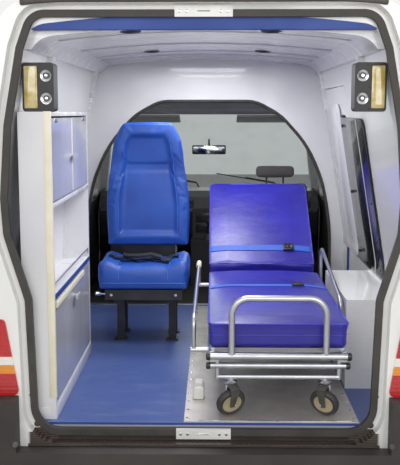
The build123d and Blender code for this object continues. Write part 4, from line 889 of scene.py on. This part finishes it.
grip = turned([(0.0095, 0.0), (0.0135, 0.002), (0.0145, 0.02), (0.0135, 0.04), (0.0145, 0.06), (0.0135, 0.08),
               (0.0145, 0.10), (0.0135, 0.122), (0.0095, 0.125)], (-0.042, -0.93, 0.955), (0, 1, 0), 24)
settle(grip, "railGrip", cream)
lockBlock = block((-0.048, -1.99, 0.5542), (0.000, -1.90, 0.612), 0.008, 3)
pick(lockBlock, facing(0, 0, 1))
bpy.ops.mesh.inset(thickness=0.008, depth=0)
pull(0, 0, 0.012)
deselect()
settle(rounded(lockBlock, 0.003), "stretcherLock", plateWhite)

rivet = screwHead((0, 0, 0), (0, 0, 1), 0.0075, 0.0028, 14)
rivets = [copied(rivet, (-0.066, -2.22 + 0.105 * i, 0.5543)) for i in range(20)]
rivets += [copied(rivet, (0.614, -2.22 + 0.105 * i, 0.5543)) for i in range(4)]
bpy.data.objects.remove(rivet)
settle(joined(rivets), "plateRivets", chrome)
settle(block((-0.02, -2.2563, 0.5541), (0.60, -2.2475, 0.5572), 0.001), "plateNosing", chrome)

# rear opening
drip = {"half": 0.685, "tall": 0.034, "deep": 0.013, "mid": 2.2155, "bendFrom": 0.50, "fall": 0.012}
dripRun = []
for i in range(-24, 25):
    x = drip["half"] * i / 24
    bend = max(0.0, abs(x) - drip["bendFrom"]) / (drip["half"] - drip["bendFrom"])
    dripRun.append((x, -2.3215, drip["mid"] - drip["fall"] * bend * bend))
dripRail = ribbon(dripRun, (0, -drip["deep"], 0), drip["tall"], 0.005)
settle(dripRail, "dripMoulding", brownDrip)

strikerBits = []
for z in (2.171, 0.509):
    for x in (-0.092, -0.064, 0.064, 0.092):
        strikerBits.append(screwHead((x, -2.282, z), (0, -1, 0), 0.0065, 0.0012))
    strikerBits.append(tube([(-0.024, -2.272, z), (-0.024, -2.2790, z), (0.024, -2.2790, z), (0.024, -2.272, z)],
                            0.0042, 0.003))
settle(joined(strikerBits), "strikerLoopsAndScrews", chrome)

sillStrip = ribbon([(-0.628, -2.2605, 0.5395), (0.628, -2.2605, 0.5395)], (0, 0, 0.0105), 0.0010)
settle(sillStrip, "sillBlueStrip", blueTrim)
ribs = []
for z in (0.4835, 0.4885, 0.4935, 0.4985):
    for x0, x1 in ((-0.585, -0.113), (0.113, 0.585)):
        ribs.append(block((x0, -2.2738, z - 0.0014), (x1, -2.2698, z + 0.0014), 0.0008, 1))
for z in (0.4735, 0.4785):
    ribs.append(block((-0.70, -2.3240, z - 0.0018), (0.70, -2.3198, z + 0.0018), 0.0009, 1))
ribs.append(block((-0.70, -2.3225, 0.4705), (0.70, -2.3198, 0.4820), 0.0008, 1))
settle(joined(ribs), "sillRubber", brownDrip)

stops = []
for side in (-1, 1):
    for x, z, profile in ((0.672, 0.547, [(0, 0.013), (0.008, 0.012), (0.011, 0.008), (0.012, -0.002)]),
                          (0.762, 1.69, [(0, 0.010), (0.007, 0.009), (0.009, 0.006), (0.010, -0.002)])):
        stops.append(turned(profile, (side * x, -2.2695, z), (0, -1, 0), 24))
settle(joined(stops), "doorBuffers", sealBlack)
settle(joined([screwHead((side * 0.695, -2.270, 0.665), (0, -1, 0), 0.008, 0.004) for side in (-1, 1)]),
       "rebateBolts", chrome)

# lamps in the top corners: a ribbed lens outboard and two reflectors inboard
cornerLamp = {"face": -2.2078, "low": 1.808, "high": 1.972, "rib": 0.0182}
cornerLens = block((0.650, -2.2145, cornerLamp["low"]), (0.702, -2.2075, cornerLamp["high"]), 0.004, 2)
cutLevel(cornerLens, [cornerLamp["low"] + cornerLamp["rib"] * i for i in range(1, 9)])
pick(cornerLens, lambda f: f.normal.y < -0.9
     and int((f.calc_center_median().z - cornerLamp["low"]) / cornerLamp["rib"]) % 2 == 0)
slide(0, -0.0015, 0)
deselect()
settle(bothSides(cornerLens), "cornerLampLenses", amberLens)
bowls = [turned([(0, 0.003), (0.006, 0.002), (0.009, -0.001), (0.015, 0.001), (0.020, 0.004), (0.022, 0.0045),
                 (0.022, -0.001)], (0.616, cornerLamp["face"], z), (0, -1, 0), 32) for z in (1.846, 1.934)]
settle(bothSides(joined(bowls)), "cornerLampReflectors", chrome)
lampScrews = [screwHead((0.643, cornerLamp["face"], z), (0, -1, 0), 0.004, 0.002) for z in (1.806, 1.890, 1.975)]
settle(bothSides(joined(lampScrews)), "cornerLampScrews", sealBlack)

# ceiling and walls
downlight = turned([(0, -0.004), (0.020, -0.003), (0.027, 0.004), (0.034, 0.006), (0.043, 0.003), (0.046, -0.004)],
                   (0, 0, 0), (0, 0, -1), 32)
spots = [copied(downlight, skinAt("roof_liner", (x, y, 1.9), (0, 0, 1)))
         for x, y in ((-0.297, -2.100), (0.268, -2.100), (-0.293, -0.965), (0.298, -0.965))]
bpy.data.objects.remove(downlight)
settle(joined(spots), "ceilingDownlights", buckleBlack)

seamsAcross = []
for y in (-2.00, -1.42, -1.38, -0.90, -0.62):
    run = [skinAt("roof_liner", (0.60 * i / 14, y, 1.8), (0, 0, 1), 0.0006) for i in range(-14, 15)]
    seamsAcross.append(tube(run, 0.0028, sides=1))
settle(joined(seamsAcross), "ceilingSeams", greyLaminate)


def wallX(z, inset=0.0):
    return wall["inner"] - inset - wall["lean"] * max(0.0, z - wall["waist"])


def wallSheet(start, end, low, high, thick, inset, bend=0.05):
    # a sheet on the right wall between two places along it and two heights, its top leaning in with the wall
    sheet = line([(0.80, start, low), (0.80, end, low), (0.80, end, high), (0.80, start, high)])
    bpy.ops.mesh.edge_face_add()
    bpy.ops.mesh.bevel(offset=bend, segments=5, affect="VERTICES")
    for z in (1.02, 1.05, 1.08, 1.30, 1.55):
        bpy.ops.mesh.select_all(action="SELECT")
        bpy.ops.mesh.bisect(plane_co=(0, 0, z), plane_no=(0, 0, 1))
    deselect()
    for point in sheet.data.vertices:
        point.co.x = wallX(point.co.z, inset)
    return rounded(applied(sheet, "SOLIDIFY", thickness=thick, offset=0), 0.0015, 2, 60)


settle(wallSheet(-1.500, -0.790, 0.985, 1.765, 0.006, 0.010), "sideDarkPanel", darkFrit)
settle(wallSheet(-1.330, -1.318, 0.99, 1.76, 0.003, 0.0145, 0.002), "sidePanelLine", paleGrey)
settle(wallSheet(-0.780, -0.190, 0.985, 1.84, 0.006, 0.008), "windowScreenPanel", whitePanel)
settle(wallSheet(-0.390, -0.330, 0.75, 1.15, 0.004, 0.0025, 0.008), "sideBlueStrip", blueTrim)
panelClips = [screwHead((wallX(z, 0.013), y, z), (-1, 0, -0.16), 0.009, 0.004)
              for y in (-1.46, -0.83) for z in (1.03, 1.36, 1.72)]
settle(joined(panelClips), "sidePanelClips", darkMould)

archPoints = [(0.785, 0.563), (0.778, 1.040), (0.757, 1.210), (0.722, 1.368), (0.660, 1.518), (0.597, 1.622),
              (0.460, 1.775), (0.300, 1.863)]
archRun = [(x, -0.122, z) for x, z in archPoints] + [(-x, -0.122, z) for x, z in archPoints[::-1]]
settle(tube(archRun, 0.010, 0.05, 2, 3), "bulkheadArchTrim", sealBlack)
settle(rounded(block((-0.783, -0.092, 0.5503), (0.783, -0.052, 0.5560)), 0.002), "floorJoinStrip", alloy)

# cabinets
settle(block((-0.6265, -2.2328, 0.640), (-0.5975, -2.2142, 1.797), 0.002), "cabinetCreamEdge", cream)
settle(block((-0.7270, -2.2322, 0.5505), (-0.6270, -2.2302, 0.60), 0.0008), "cabinetKickEdge", whitePanel)
settle(block((-0.6010, -2.211, 1.043), (-0.5975, -1.249, 1.0635), 0.001), "counterBlueEdge", blueTrim)
settle(block((-0.6012, -2.19, 1.004), (-0.5935, -1.45, 1.030), 0.003), "lowerDoorPull", cream,
       body="cabinet_flap_lower")
settle(block((-0.6012, -1.709, 1.446), (-0.5992, -1.701, 1.766), 0.0008), "upperDoorSplit", cream,
       body="cabinet_flap_upper")
edgeStrips = [block((-0.6005, -2.212, low), (-0.5978, -1.248, high), 0.001)
              for low, high in ((0.5505, 0.606), (1.4155, 1.4325), (1.7775, 1.7945))]
settle(joined(edgeStrips), "cabinetEdgeStrips", whitePanel)
hingeRows = [block((-0.6012, y - 0.03, 1.752), (-0.5988, y + 0.03, 1.768), 0.0008) for y in (-2.10, -1.36)]
settle(joined(hingeRows), "upperDoorHinges", chrome, body="cabinet_flap_upper")
shelfRail = tube([(-0.605, y, z) for y, z in ((-2.205, 1.080), (-2.205, 1.105), (-1.255, 1.105), (-1.255, 1.080))],
                 0.004, 0.015)
settle(shelfRail, "counterRail", alloy)

# cab
vents = []
for x in (-0.70, -0.175, 0.175, 0.70):
    vents.append(insets(block((x - 0.065, 0.848, 1.082), (x + 0.065, 0.872, 1.148), 0.008, 3),
                        facing(0, -1, 0, 0.95), (0.008, 0), (0.002, -0.014)))
    vents += [block((x - 0.053, 0.850, z), (x + 0.053, 0.862, z + 0.0025)) for z in (1.098, 1.108, 1.118, 1.128)]
settle(joined(vents), "dashVents", darkMould)
hood = slab([(-0.60, 0.885, 1.185), (-0.60, 0.865, 1.225), (-0.60, 0.90, 1.262), (-0.60, 0.985, 1.250),
             (-0.60, 1.03, 1.205)], (0.32, 0, 0), 0.012, 3)
settle(hood, "instrumentHood", darkMould)
dial = [turned([(0, 0.001), (0.038, 0.001), (0.041, 0.004), (0.044, 0.004), (0.045, -0.003)],
               (x, 0.868, 1.205), (0, -0.9, 0.35), 32) for x in (-0.49, -0.39)]
settle(joined(dial), "dashDials", chrome)
radio = [block((-0.095, 0.8125, z), (0.095, 0.8225, z + 0.065), 0.003) for z in (0.985, 0.905)]
radio += [turned([(0, 0.014), (0.012, 0.013), (0.016, 0.002), (0.018, 0)], (x, 0.8125, 0.937), (0, -1, 0), 24)
          for x in (-0.06, 0.0, 0.06)]
settle(joined(radio), "consolePanels", buckleBlack)
gearStick = joined([tube([(0.0, 0.76, 0.86), (0.0, 0.735, 0.98)], 0.007),
                    turned([(0, 0.05), (0.014, 0.046), (0.020, 0.030), (0.016, 0.008), (0.008, 0)],
                           (0, 0.736, 0.972), (0, -0.2, 1), 24),
                    turned([(0.045, 0), (0.030, 0.02), (0.014, 0.045)], (0, 0.757, 0.860), (0, -0.1, 1), 24)])
settle(gearStick, "gearLever", darkMould)
gloveBox = block((0.30, 0.842, 0.95), (0.66, 0.856, 1.05), 0.01, 3)
settle(insets(gloveBox, facing(0, -1, 0, 0.95), (0.012, 0), (0.002, 0.002)), "gloveBoxLid", darkMould)
airbag = turned([(0, -0.026), (0.045, -0.024), (0.066, -0.014), (0.072, -0.006)], (-0.440, 0.640, 1.150),
                (0, math.cos(math.radians(28)), -math.sin(math.radians(28))), 36)
settle(airbag, "steeringWheelPad", darkMould, body="steering")
mirror = insets(block((-0.121, 0.790, 1.488), (0.127, 0.812, 1.556), 0.012, 4), facing(0, -1, 0, 0.95),
                (0.004, -0.001))
stem = tube([(0.003, 0.810, 1.535), (0.003, 0.84, 1.565), (0.003, 0.905, 1.592)], 0.008, 0.01)
settle(joined([mirror, stem]), "cabMirror", buckleBlack)
settle(block((-0.114, 0.7885, 1.494), (0.120, 0.7905, 1.550), 0.0005), "cabMirrorFace", mirrorFace)
visors = [block((x - 0.20, 0.50, 1.742), (x + 0.20, 0.67, 1.760), 0.008, 3) for x in (-0.40, 0.40)]
for visor in visors:
    visor.data.transform(tilt(-14, 0.58, 1.75))
settle(joined(visors), "sunVisors", paleGrey)
linerEdge = tube([(x, -0.086, 1.868) for x in (-0.58, -0.30, 0.30, 0.58)], 0.004)
settle(linerEdge, "headlinerEdge", paleGrey)
print("inside fittings made")

# outside: each fitting is set on the skin where a ray meets it
fit = {"handleZ": 1.035, "tyreR": 0.336, "rimR": 0.208, "frontAxle": 1.545, "rearAxle": -1.440, "wheelX": 0.828}


def onSide(node, y, z, lift=0.0):
    return skinAt(node, (rayFrom["side"], y, z), (-1, 0, 0), lift)


def onFront(node, x, z):
    return skinAt(node, (x, rayFrom["front"], z), (0, -1, 0))


def onRear(node, x, z):
    return skinAt(node, (x, rayFrom["rear"], z), (0, 1, 0))


def sideHandle(node, y, z, length=0.17):
    start, end = onSide(node, y, z, 0.001), onSide(node, y + length, z, 0.001)
    out = Vector((0.030, 0, 0))
    inward = Vector((-0.003, 0, 0))
    bar = tube([start + inward, start + out, end + out, end + inward], 0.0095, 0.018, 3, 5)
    shell = block((start.x - 0.004, y - 0.018, z - 0.028), (start.x + 0.0045, y + length + 0.018, z + 0.028),
                  0.02, 4)
    lockPoint = onSide(node, y + length + 0.045, z)
    barrel = turned([(0, 0.004), (0.009, 0.004), (0.011, 0.002), (0.012, -0.003)], lockPoint, (1, 0, 0), 20)
    return joined([bar, shell, barrel])


def onFrontDoors(piece, leftName, rightName, finish):
    # a fitting of both front doors, from the right one's
    settle(copied(piece, flip=True), leftName, finish, body="door_front_left")
    settle(piece, rightName, finish, body="door_front_right")


onFrontDoors(sideHandle("front_door_right", 0.135, fit["handleZ"]), "frontHandleLeft", "door_front_rightHandle",
             darkMould)
settle(sideHandle("sliding_door", -0.395, fit["handleZ"]), "bodyHandle", darkMould)

# inner face of the open rear doors: trim panel, pull handle, latch and seal
rearPane = {"x": (1.096, 1.574), "y": -2.3705, "z": (1.246, 1.794)}
for side, node, body in ((1, "rear_door_right", "door_rear_right"), (-1, "rear_door_left", "door_rear_left")):
    face = onRear(node, side * 1.28, 0.95).y
    grab = tube([(side * 1.52, face + off, z) for off, z in ((0.012, 1.085), (0.0005, 1.085), (0.0005, 1.215),
                                                              (0.012, 1.215))], 0.006, 0.010, 2, 4)
    settle(grab, "rearPull" + str(side), alloy, body=body)
    low, high = sorted((side * 1.09, side * 1.47))
    trim = block((low, face - 0.0012, 0.70), (high, face + 0.002, 1.15), 0.012, 3)
    settle(insets(trim, facing(0, -1, 0, 0.95), (0.02, -0.0006)), "rearTrim" + str(side), paleGrey, body=body)
    low, high = sorted((side * 1.62, side * 1.66))
    latch = block((low, face - 0.0012, 1.18), (high, face + 0.004, 1.30), 0.004, 2)
    settle(latch, "rearLatch" + str(side), castGrey, body=body)
    low, high = sorted(side * x for x in rearPane["x"])
    bottom, top = rearPane["z"]
    corners = ((low, bottom), (high, bottom), (high, top), (low, top), (low, bottom))
    glassRing = ribbon([(x, rearPane["y"], z) for x, z in corners], (0, 0.014, 0), 0.016, 0.003)
    settle(glassRing, "rearGlassSeal" + str(side), sealBlack, body=body)

# sides: rub strips, repeaters, markers and the fuel flap
rub = {"z": 0.70, "tall": 0.055, "deep": 0.014}


def rubStrip(node, start, length, steps, lift=0.0):
    inward = Vector((rub["deep"] / 2, 0, 0))
    run = [onSide(node, start + length * i / steps, rub["z"], lift) - inward for i in range(steps + 1)]
    return ribbon(run, (rub["deep"], 0, 0), rub["tall"], 0.005, even=False)


onFrontDoors(rubStrip("front_door_right", 0.10, 0.92, 12, 0.0015), "rubStripFrontLeft", "rubStripFrontRight",
             bumperMould)
strips = [rubStrip("sliding_door", -1.02, 0.82, 12, 0.0015), rubStrip("body_side_right", -2.14, 0.30, 4)]
settle(joined(strips + [copied(strips[-1], flip=True)]), "rubStrips", bumperMould)

repeater = turned([(0, 0.012), (0.016, 0.011), (0.024, 0.006), (0.027, -0.002)], onSide("front_wings", 1.235, 0.93),
                  (1, 0, 0), 24)
settle(bothSides(repeater), "sideRepeaters", orangeLens)
# the rays of the front marker and the flap miss the side panel, so those two stand off it
markers = [block((spot.x - 0.006, spot.y - 0.035, 0.59), (spot.x + 0.006, spot.y + 0.035, 0.615), 0.005, 2)
           for spot in (onSide("body_side_right", -0.60, 0.60), onSide("body_side_right", -2.02, 0.60))]
settle(bothSides(joined(markers)), "sideMarkers", orangeLens)
fuel = onSide("body_side_right", -0.62, 0.86)
flap = block((-fuel.x - 0.0025, -0.73, 0.78), (-fuel.x + 0.004, -0.55, 0.94), 0.02, 4)
settle(insets(flap, facing(-1, 0, 0, 0.95), (0.006, 0), (0.002, -0.001)), "fuelFlap", white)

# the glass of the door mirrors
glassFace = block((1.00, 0.9555, 1.225), (1.15, 0.9585, 1.475), 0.0012, 2)
shell = skinAt("front_door_right", (1.075, 0.5, 1.35), (0, 1, 0))
glassFace.data.transform(Matrix.Translation((0, shell.y - 0.9575, 0)))
onFrontDoors(glassFace, "mirrorGlassLeft", "mirrorGlassRight", mirrorFace)

# front: reflectors behind the lamp glass, indicators, fog lamps, blank plate, wipers
bowls = [turned([(0, 0.0035), (0.018, 0.003), (0.021, 0.001), (0.048, 0.0025), (0.056, 0.0035), (0.059, 0.001),
                 (0.059, -0.012)], onFront("headlamps", x, 0.78), (0.15, 1, 0), 36) for x in (0.60, 0.755)]
settle(bothSides(joined(bowls)), "headlampReflectors", chrome)
ambers = [turned([(0, 0.003), (0.020, 0.003), (0.023, -0.006)], onFront("headlamps", 0.86, z), (0.5, 1, 0), 24)
          for z in (0.775, 0.795)]
settle(bothSides(joined(ambers)), "frontIndicators", orangeLens)
plateZ = 0.345
plateY = onFront("front_bumper", 0.0, plateZ).y
numberPlate = block((-0.26, plateY - 0.012, plateZ - 0.055), (0.26, plateY - 0.0002, plateZ + 0.055), 0.004, 3)
settle(numberPlate, "frontBlankPlate", plateWhite)
fogLamp = turned([(0, 0.004), (0.038, 0.003), (0.044, 0.005), (0.050, 0.001), (0.050, -0.015)],
                 onFront("front_bumper", 0.62, 0.42), (0.1, 1, 0), 32)
settle(bothSides(fogLamp), "fogLamps", chrome)
wipers = []
for x in (-0.10, 0.52):
    spots = [struck("body_glass", (x - 0.46 * i / 8, rayFrom["front"], 1.235 + 0.010 * i), (0, -1, 0), 0.007)
             for i in range(9)]
    run = [spot for spot in spots if spot is not None]
    wipers.append(tube(run, 0.0045, sides=1))
    wipers.append(tube([run[0] + Vector((0.03, 0.03, -0.06)), run[0] + Vector((0, 0.012, 0.004)),
                        run[len(run) // 2] + Vector((0, 0.008, 0.006))], 0.0055, 0.01))
settle(joined(wipers), "wipers", sealBlack)

# rear bumper: bolts, rubber buffers and amber reflectors
bumperBolts = [screwHead(onRear("rear_bumper", x, 0.505), (0, -1, 0), 0.013, 0.007) for x in (-0.735, 0.735)]
buffers = [turned([(0, 0.024), (0.016, 0.022), (0.022, 0.014), (0.024, -0.004)], onRear("rear_bumper", x, 0.360),
                  (0, -1, 0), 24) for x in (-0.735, 0.735)]
settle(joined(bumperBolts), "bumperBolts", castGrey)
settle(joined(buffers), "bumperBuffers", sealBlack)
face = onRear("rear_bumper", -0.30, 0.335).y
reflectors = [block((x - 0.03, face - 0.004, 0.325), (x + 0.03, face + 0.004, 0.350), 0.004, 2)
              for x in (-0.30, 0.30)]
settle(joined(reflectors), "bumperReflectors", orangeLens)


# wheels: tread blocks on a turned tyre, nuts and a centre cap, modelled once and copied
def wheelTyre():
    base, top, half = fit["tyreR"] - 0.007, fit["tyreR"], 0.1015
    edges = [-0.0680, -0.0430, -0.0370, -0.0155, -0.0095, 0.0095, 0.0155, 0.0370, 0.0430, 0.0680]
    section = [(fit["rimR"] + 0.002, -half + 0.012), (fit["rimR"] + 0.030, -half + 0.001), (0.262, -half),
               (0.300, -half + 0.005), (0.322, -half + 0.014)]
    section += [(base, along) for along in edges]
    section += [(0.322, half - 0.014), (0.300, half - 0.005), (0.262, half), (fit["rimR"] + 0.030, half - 0.001),
                (fit["rimR"] + 0.002, half - 0.012)]
    tyre = turned(section, (0, 0, 0), (1, 0, 0), 96)

    def lug(face):
        middle = face.calc_center_median()
        if math.hypot(middle.y, middle.z) < base - 0.004 or abs(middle.x) > 0.068:
            return False
        wide = any(low < middle.x < high for low, high in zip(edges[0::2], edges[1::2]))
        step = int((math.atan2(middle.z, middle.y) + math.pi) / (2 * math.pi) * 96)
        return wide and (step + int(abs(middle.x) * 60)) % 3 != 0

    pick(tyre, lug)
    bpy.ops.mesh.extrude_region_shrink_fatten(TRANSFORM_OT_shrink_fatten={"value": top - base - 0.0003})
    deselect()
    return tyre


nuts = [turned([(0, 0.013), (0.008, 0.012), (0.0115, 0.009), (0.0115, -0.006)],
               (0, 0.065 * math.cos(2 * math.pi * i / 5), 0.065 * math.sin(2 * math.pi * i / 5)), (1, 0, 0), 6)
        for i in range(5)]
nuts.append(turned([(0, 0.012), (0.018, 0.011), (0.026, 0.004), (0.028, -0.004)], (0, 0, 0), (1, 0, 0), 32))
nutSet = joined(nuts)
tyreShape = wheelTyre()
for end, y in (("front", fit["frontAxle"]), ("rear", fit["rearAxle"])):
    for side, out in (("right", 1), ("left", -1)):
        body = "wheel_" + end + "_" + side
        wheelTurn = Matrix.Identity(4) if out > 0 else Matrix.Rotation(math.pi, 4, "Z")
        tyre = copied(tyreShape, (out * fit["wheelX"], y, fit["tyreR"]), turn=wheelTurn)
        settle(tyre, "tyre" + end.title() + side.title(), rubber, body=body, angle=30)
        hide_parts("tyre_" + end + "_" + side)
        spot = skinAt("rim_" + end + "_" + side, (out * 1.3, y + 0.065, fit["tyreR"]), (-out, 0, 0))
        nutPiece = copied(nutSet, (spot.x, y, fit["tyreR"]), turn=wheelTurn)
        settle(nutPiece, "wheelNuts" + end.title() + side.title(), castGrey, body=body)
bpy.data.objects.remove(tyreShape)
bpy.data.objects.remove(nutSet)


# side window seals, drawn round each pane on the skin
def sideSeal(node, outline):
    corners = outline + outline[:1]
    spots = [struck(node, (rayFrom["side"], y0 + (y1 - y0) * i / 8, z0 + (z1 - z0) * i / 8), (-1, 0, 0), 0.0015)
             for (y0, z0), (y1, z1) in zip(corners, corners[1:]) for i in range(8)]
    run = [spot for spot in spots if spot is not None]
    return tube(run + run[:1], 0.0065, sides=1)


onFrontDoors(sideSeal("front_glass_right", [(0.165, 1.160), (0.985, 1.160), (0.553, 1.612), (0.203, 1.675)]),
             "frontGlassSealLeft", "frontGlassSealRight", sealBlack)
bodySeal = sideSeal("body_glass", [(-0.962, 1.198), (-0.258, 1.198), (-0.258, 1.772), (-0.962, 1.772)])
settle(joined([copied(bodySeal, flip=True), bodySeal]), "sideGlassSeals", sealBlack)

aerial = tube([(0.35, 0.28, 2.19), (0.35, 0.12, 2.335)], 0.0030)
foot = turned([(0.022, -0.003), (0.018, 0.008), (0.007, 0.016), (0, 0.017)],
              skinAt("roof", (0.35, 0.28, 3.0), (0, 0, -1)), (0, 0, 1), 24)
settle(joined([aerial, foot]), "roofAerial", sealBlack)
print("outside fittings made")

# studio: pale floor, soft lamps and the camera
studio = {"floorSize": 40, "floorTone": "#dcdad6", "skyStrength": 0.38, "backdrop": "#f4f4f2",
          "eye": (0.04, -5.64, 1.79), "pitchDown": 7.82, "yawLeft": 0.92, "focalPixels": 870, "imageHeight": 465}

stage = addShape("plane", size=studio["floorSize"], location=(0, 0, 0))
pick(stage, lambda f: True)
bpy.ops.mesh.subdivide(number_cuts=7)
deselect()
stage.name = "studioFloor"


def studioFloor(place):
    grain = place.noise(60, 2)
    return {"Base Color": grain.blend(tone(studio["floorTone"]), tone("#e4e2de")), "Roughness": grain * 0.1 + 0.6}


stage.data.materials.append(newFinish("studioFloor", studioFloor))

sky = bpy.data.worlds.new("softSky")
bpy.context.scene.world = sky
sky.use_nodes = True
skyTree = sky.node_tree
skyWire = Wire(skyTree)
seen = skyWire.node("LightPath")
glossy = Wire(skyTree, seen.socket.node.outputs["Is Glossy Ray"])
through = Wire(skyTree, seen.socket.node.outputs["Is Transmission Ray"])
bare = (seen + glossy + through).smaller(1.0)
light = skyTree.nodes["Background"]
light.inputs["Color"].default_value = tone("#ffffff")
light.inputs["Strength"].default_value = studio["skyStrength"]
backdrop = skyWire.node("Background", {}, {"Color": tone(studio["backdrop"]), "Strength": 1.0})
shown = skyWire.node("MixShader", {}, {0: bare, 1: Wire(skyTree, light.outputs[0]), 2: backdrop})
skyWire.feed(skyTree.nodes["World Output"].inputs["Surface"], shown)

lamps = {
    "rearKey": {"at": (-1.2, -6.5, 3.2), "to": (0.1, -1.2, 1.1), "size": 2.6, "watts": 70},
    "rearFill": {"at": (1.6, -5.6, 2.4), "to": (0.0, -1.0, 1.2), "size": 2.0, "watts": 42},
    "left": {"at": (-6.0, 0.5, 4.5), "to": (0, 0, 1.0), "size": 4.0, "watts": 110},
    "right": {"at": (6.0, 1.0, 4.5), "to": (0, 0, 1.0), "size": 4.0, "watts": 110},
    "front": {"at": (0.5, 7.0, 3.5), "to": (0, 1.0, 1.0), "size": 3.5, "watts": 130},
    "ceilingRear": {"at": (0.0, -1.75, 2.085), "to": (0.0, -1.75, 0.5), "size": 0.5, "watts": 11},
    "ceilingFront": {"at": (0.0, -0.75, 2.085), "to": (0.0, -0.75, 0.5), "size": 0.5, "watts": 11},
}
for name, lamp in lamps.items():
    deselect()
    bpy.ops.object.light_add(type="AREA", location=lamp["at"])
    lit = bpy.context.object
    lit.name = name
    lit.rotation_euler = (Vector(lamp["to"]) - Vector(lamp["at"])).to_track_quat("-Z", "Y").to_euler()
    lit.data.size = lamp["size"]
    lit.data.energy = lamp["watts"]
    lit.visible_camera = False

deselect()
bpy.ops.object.camera_add(location=studio["eye"],
                          rotation=(math.radians(90 - studio["pitchDown"]), 0, math.radians(studio["yawLeft"])))
camera = bpy.context.object
camera.data.sensor_width = 36
camera.data.lens = studio["focalPixels"] / studio["imageHeight"] * 36
bpy.context.scene.camera = camera
bpy.context.scene.view_settings.view_transform = "Standard"
print("studio ready")
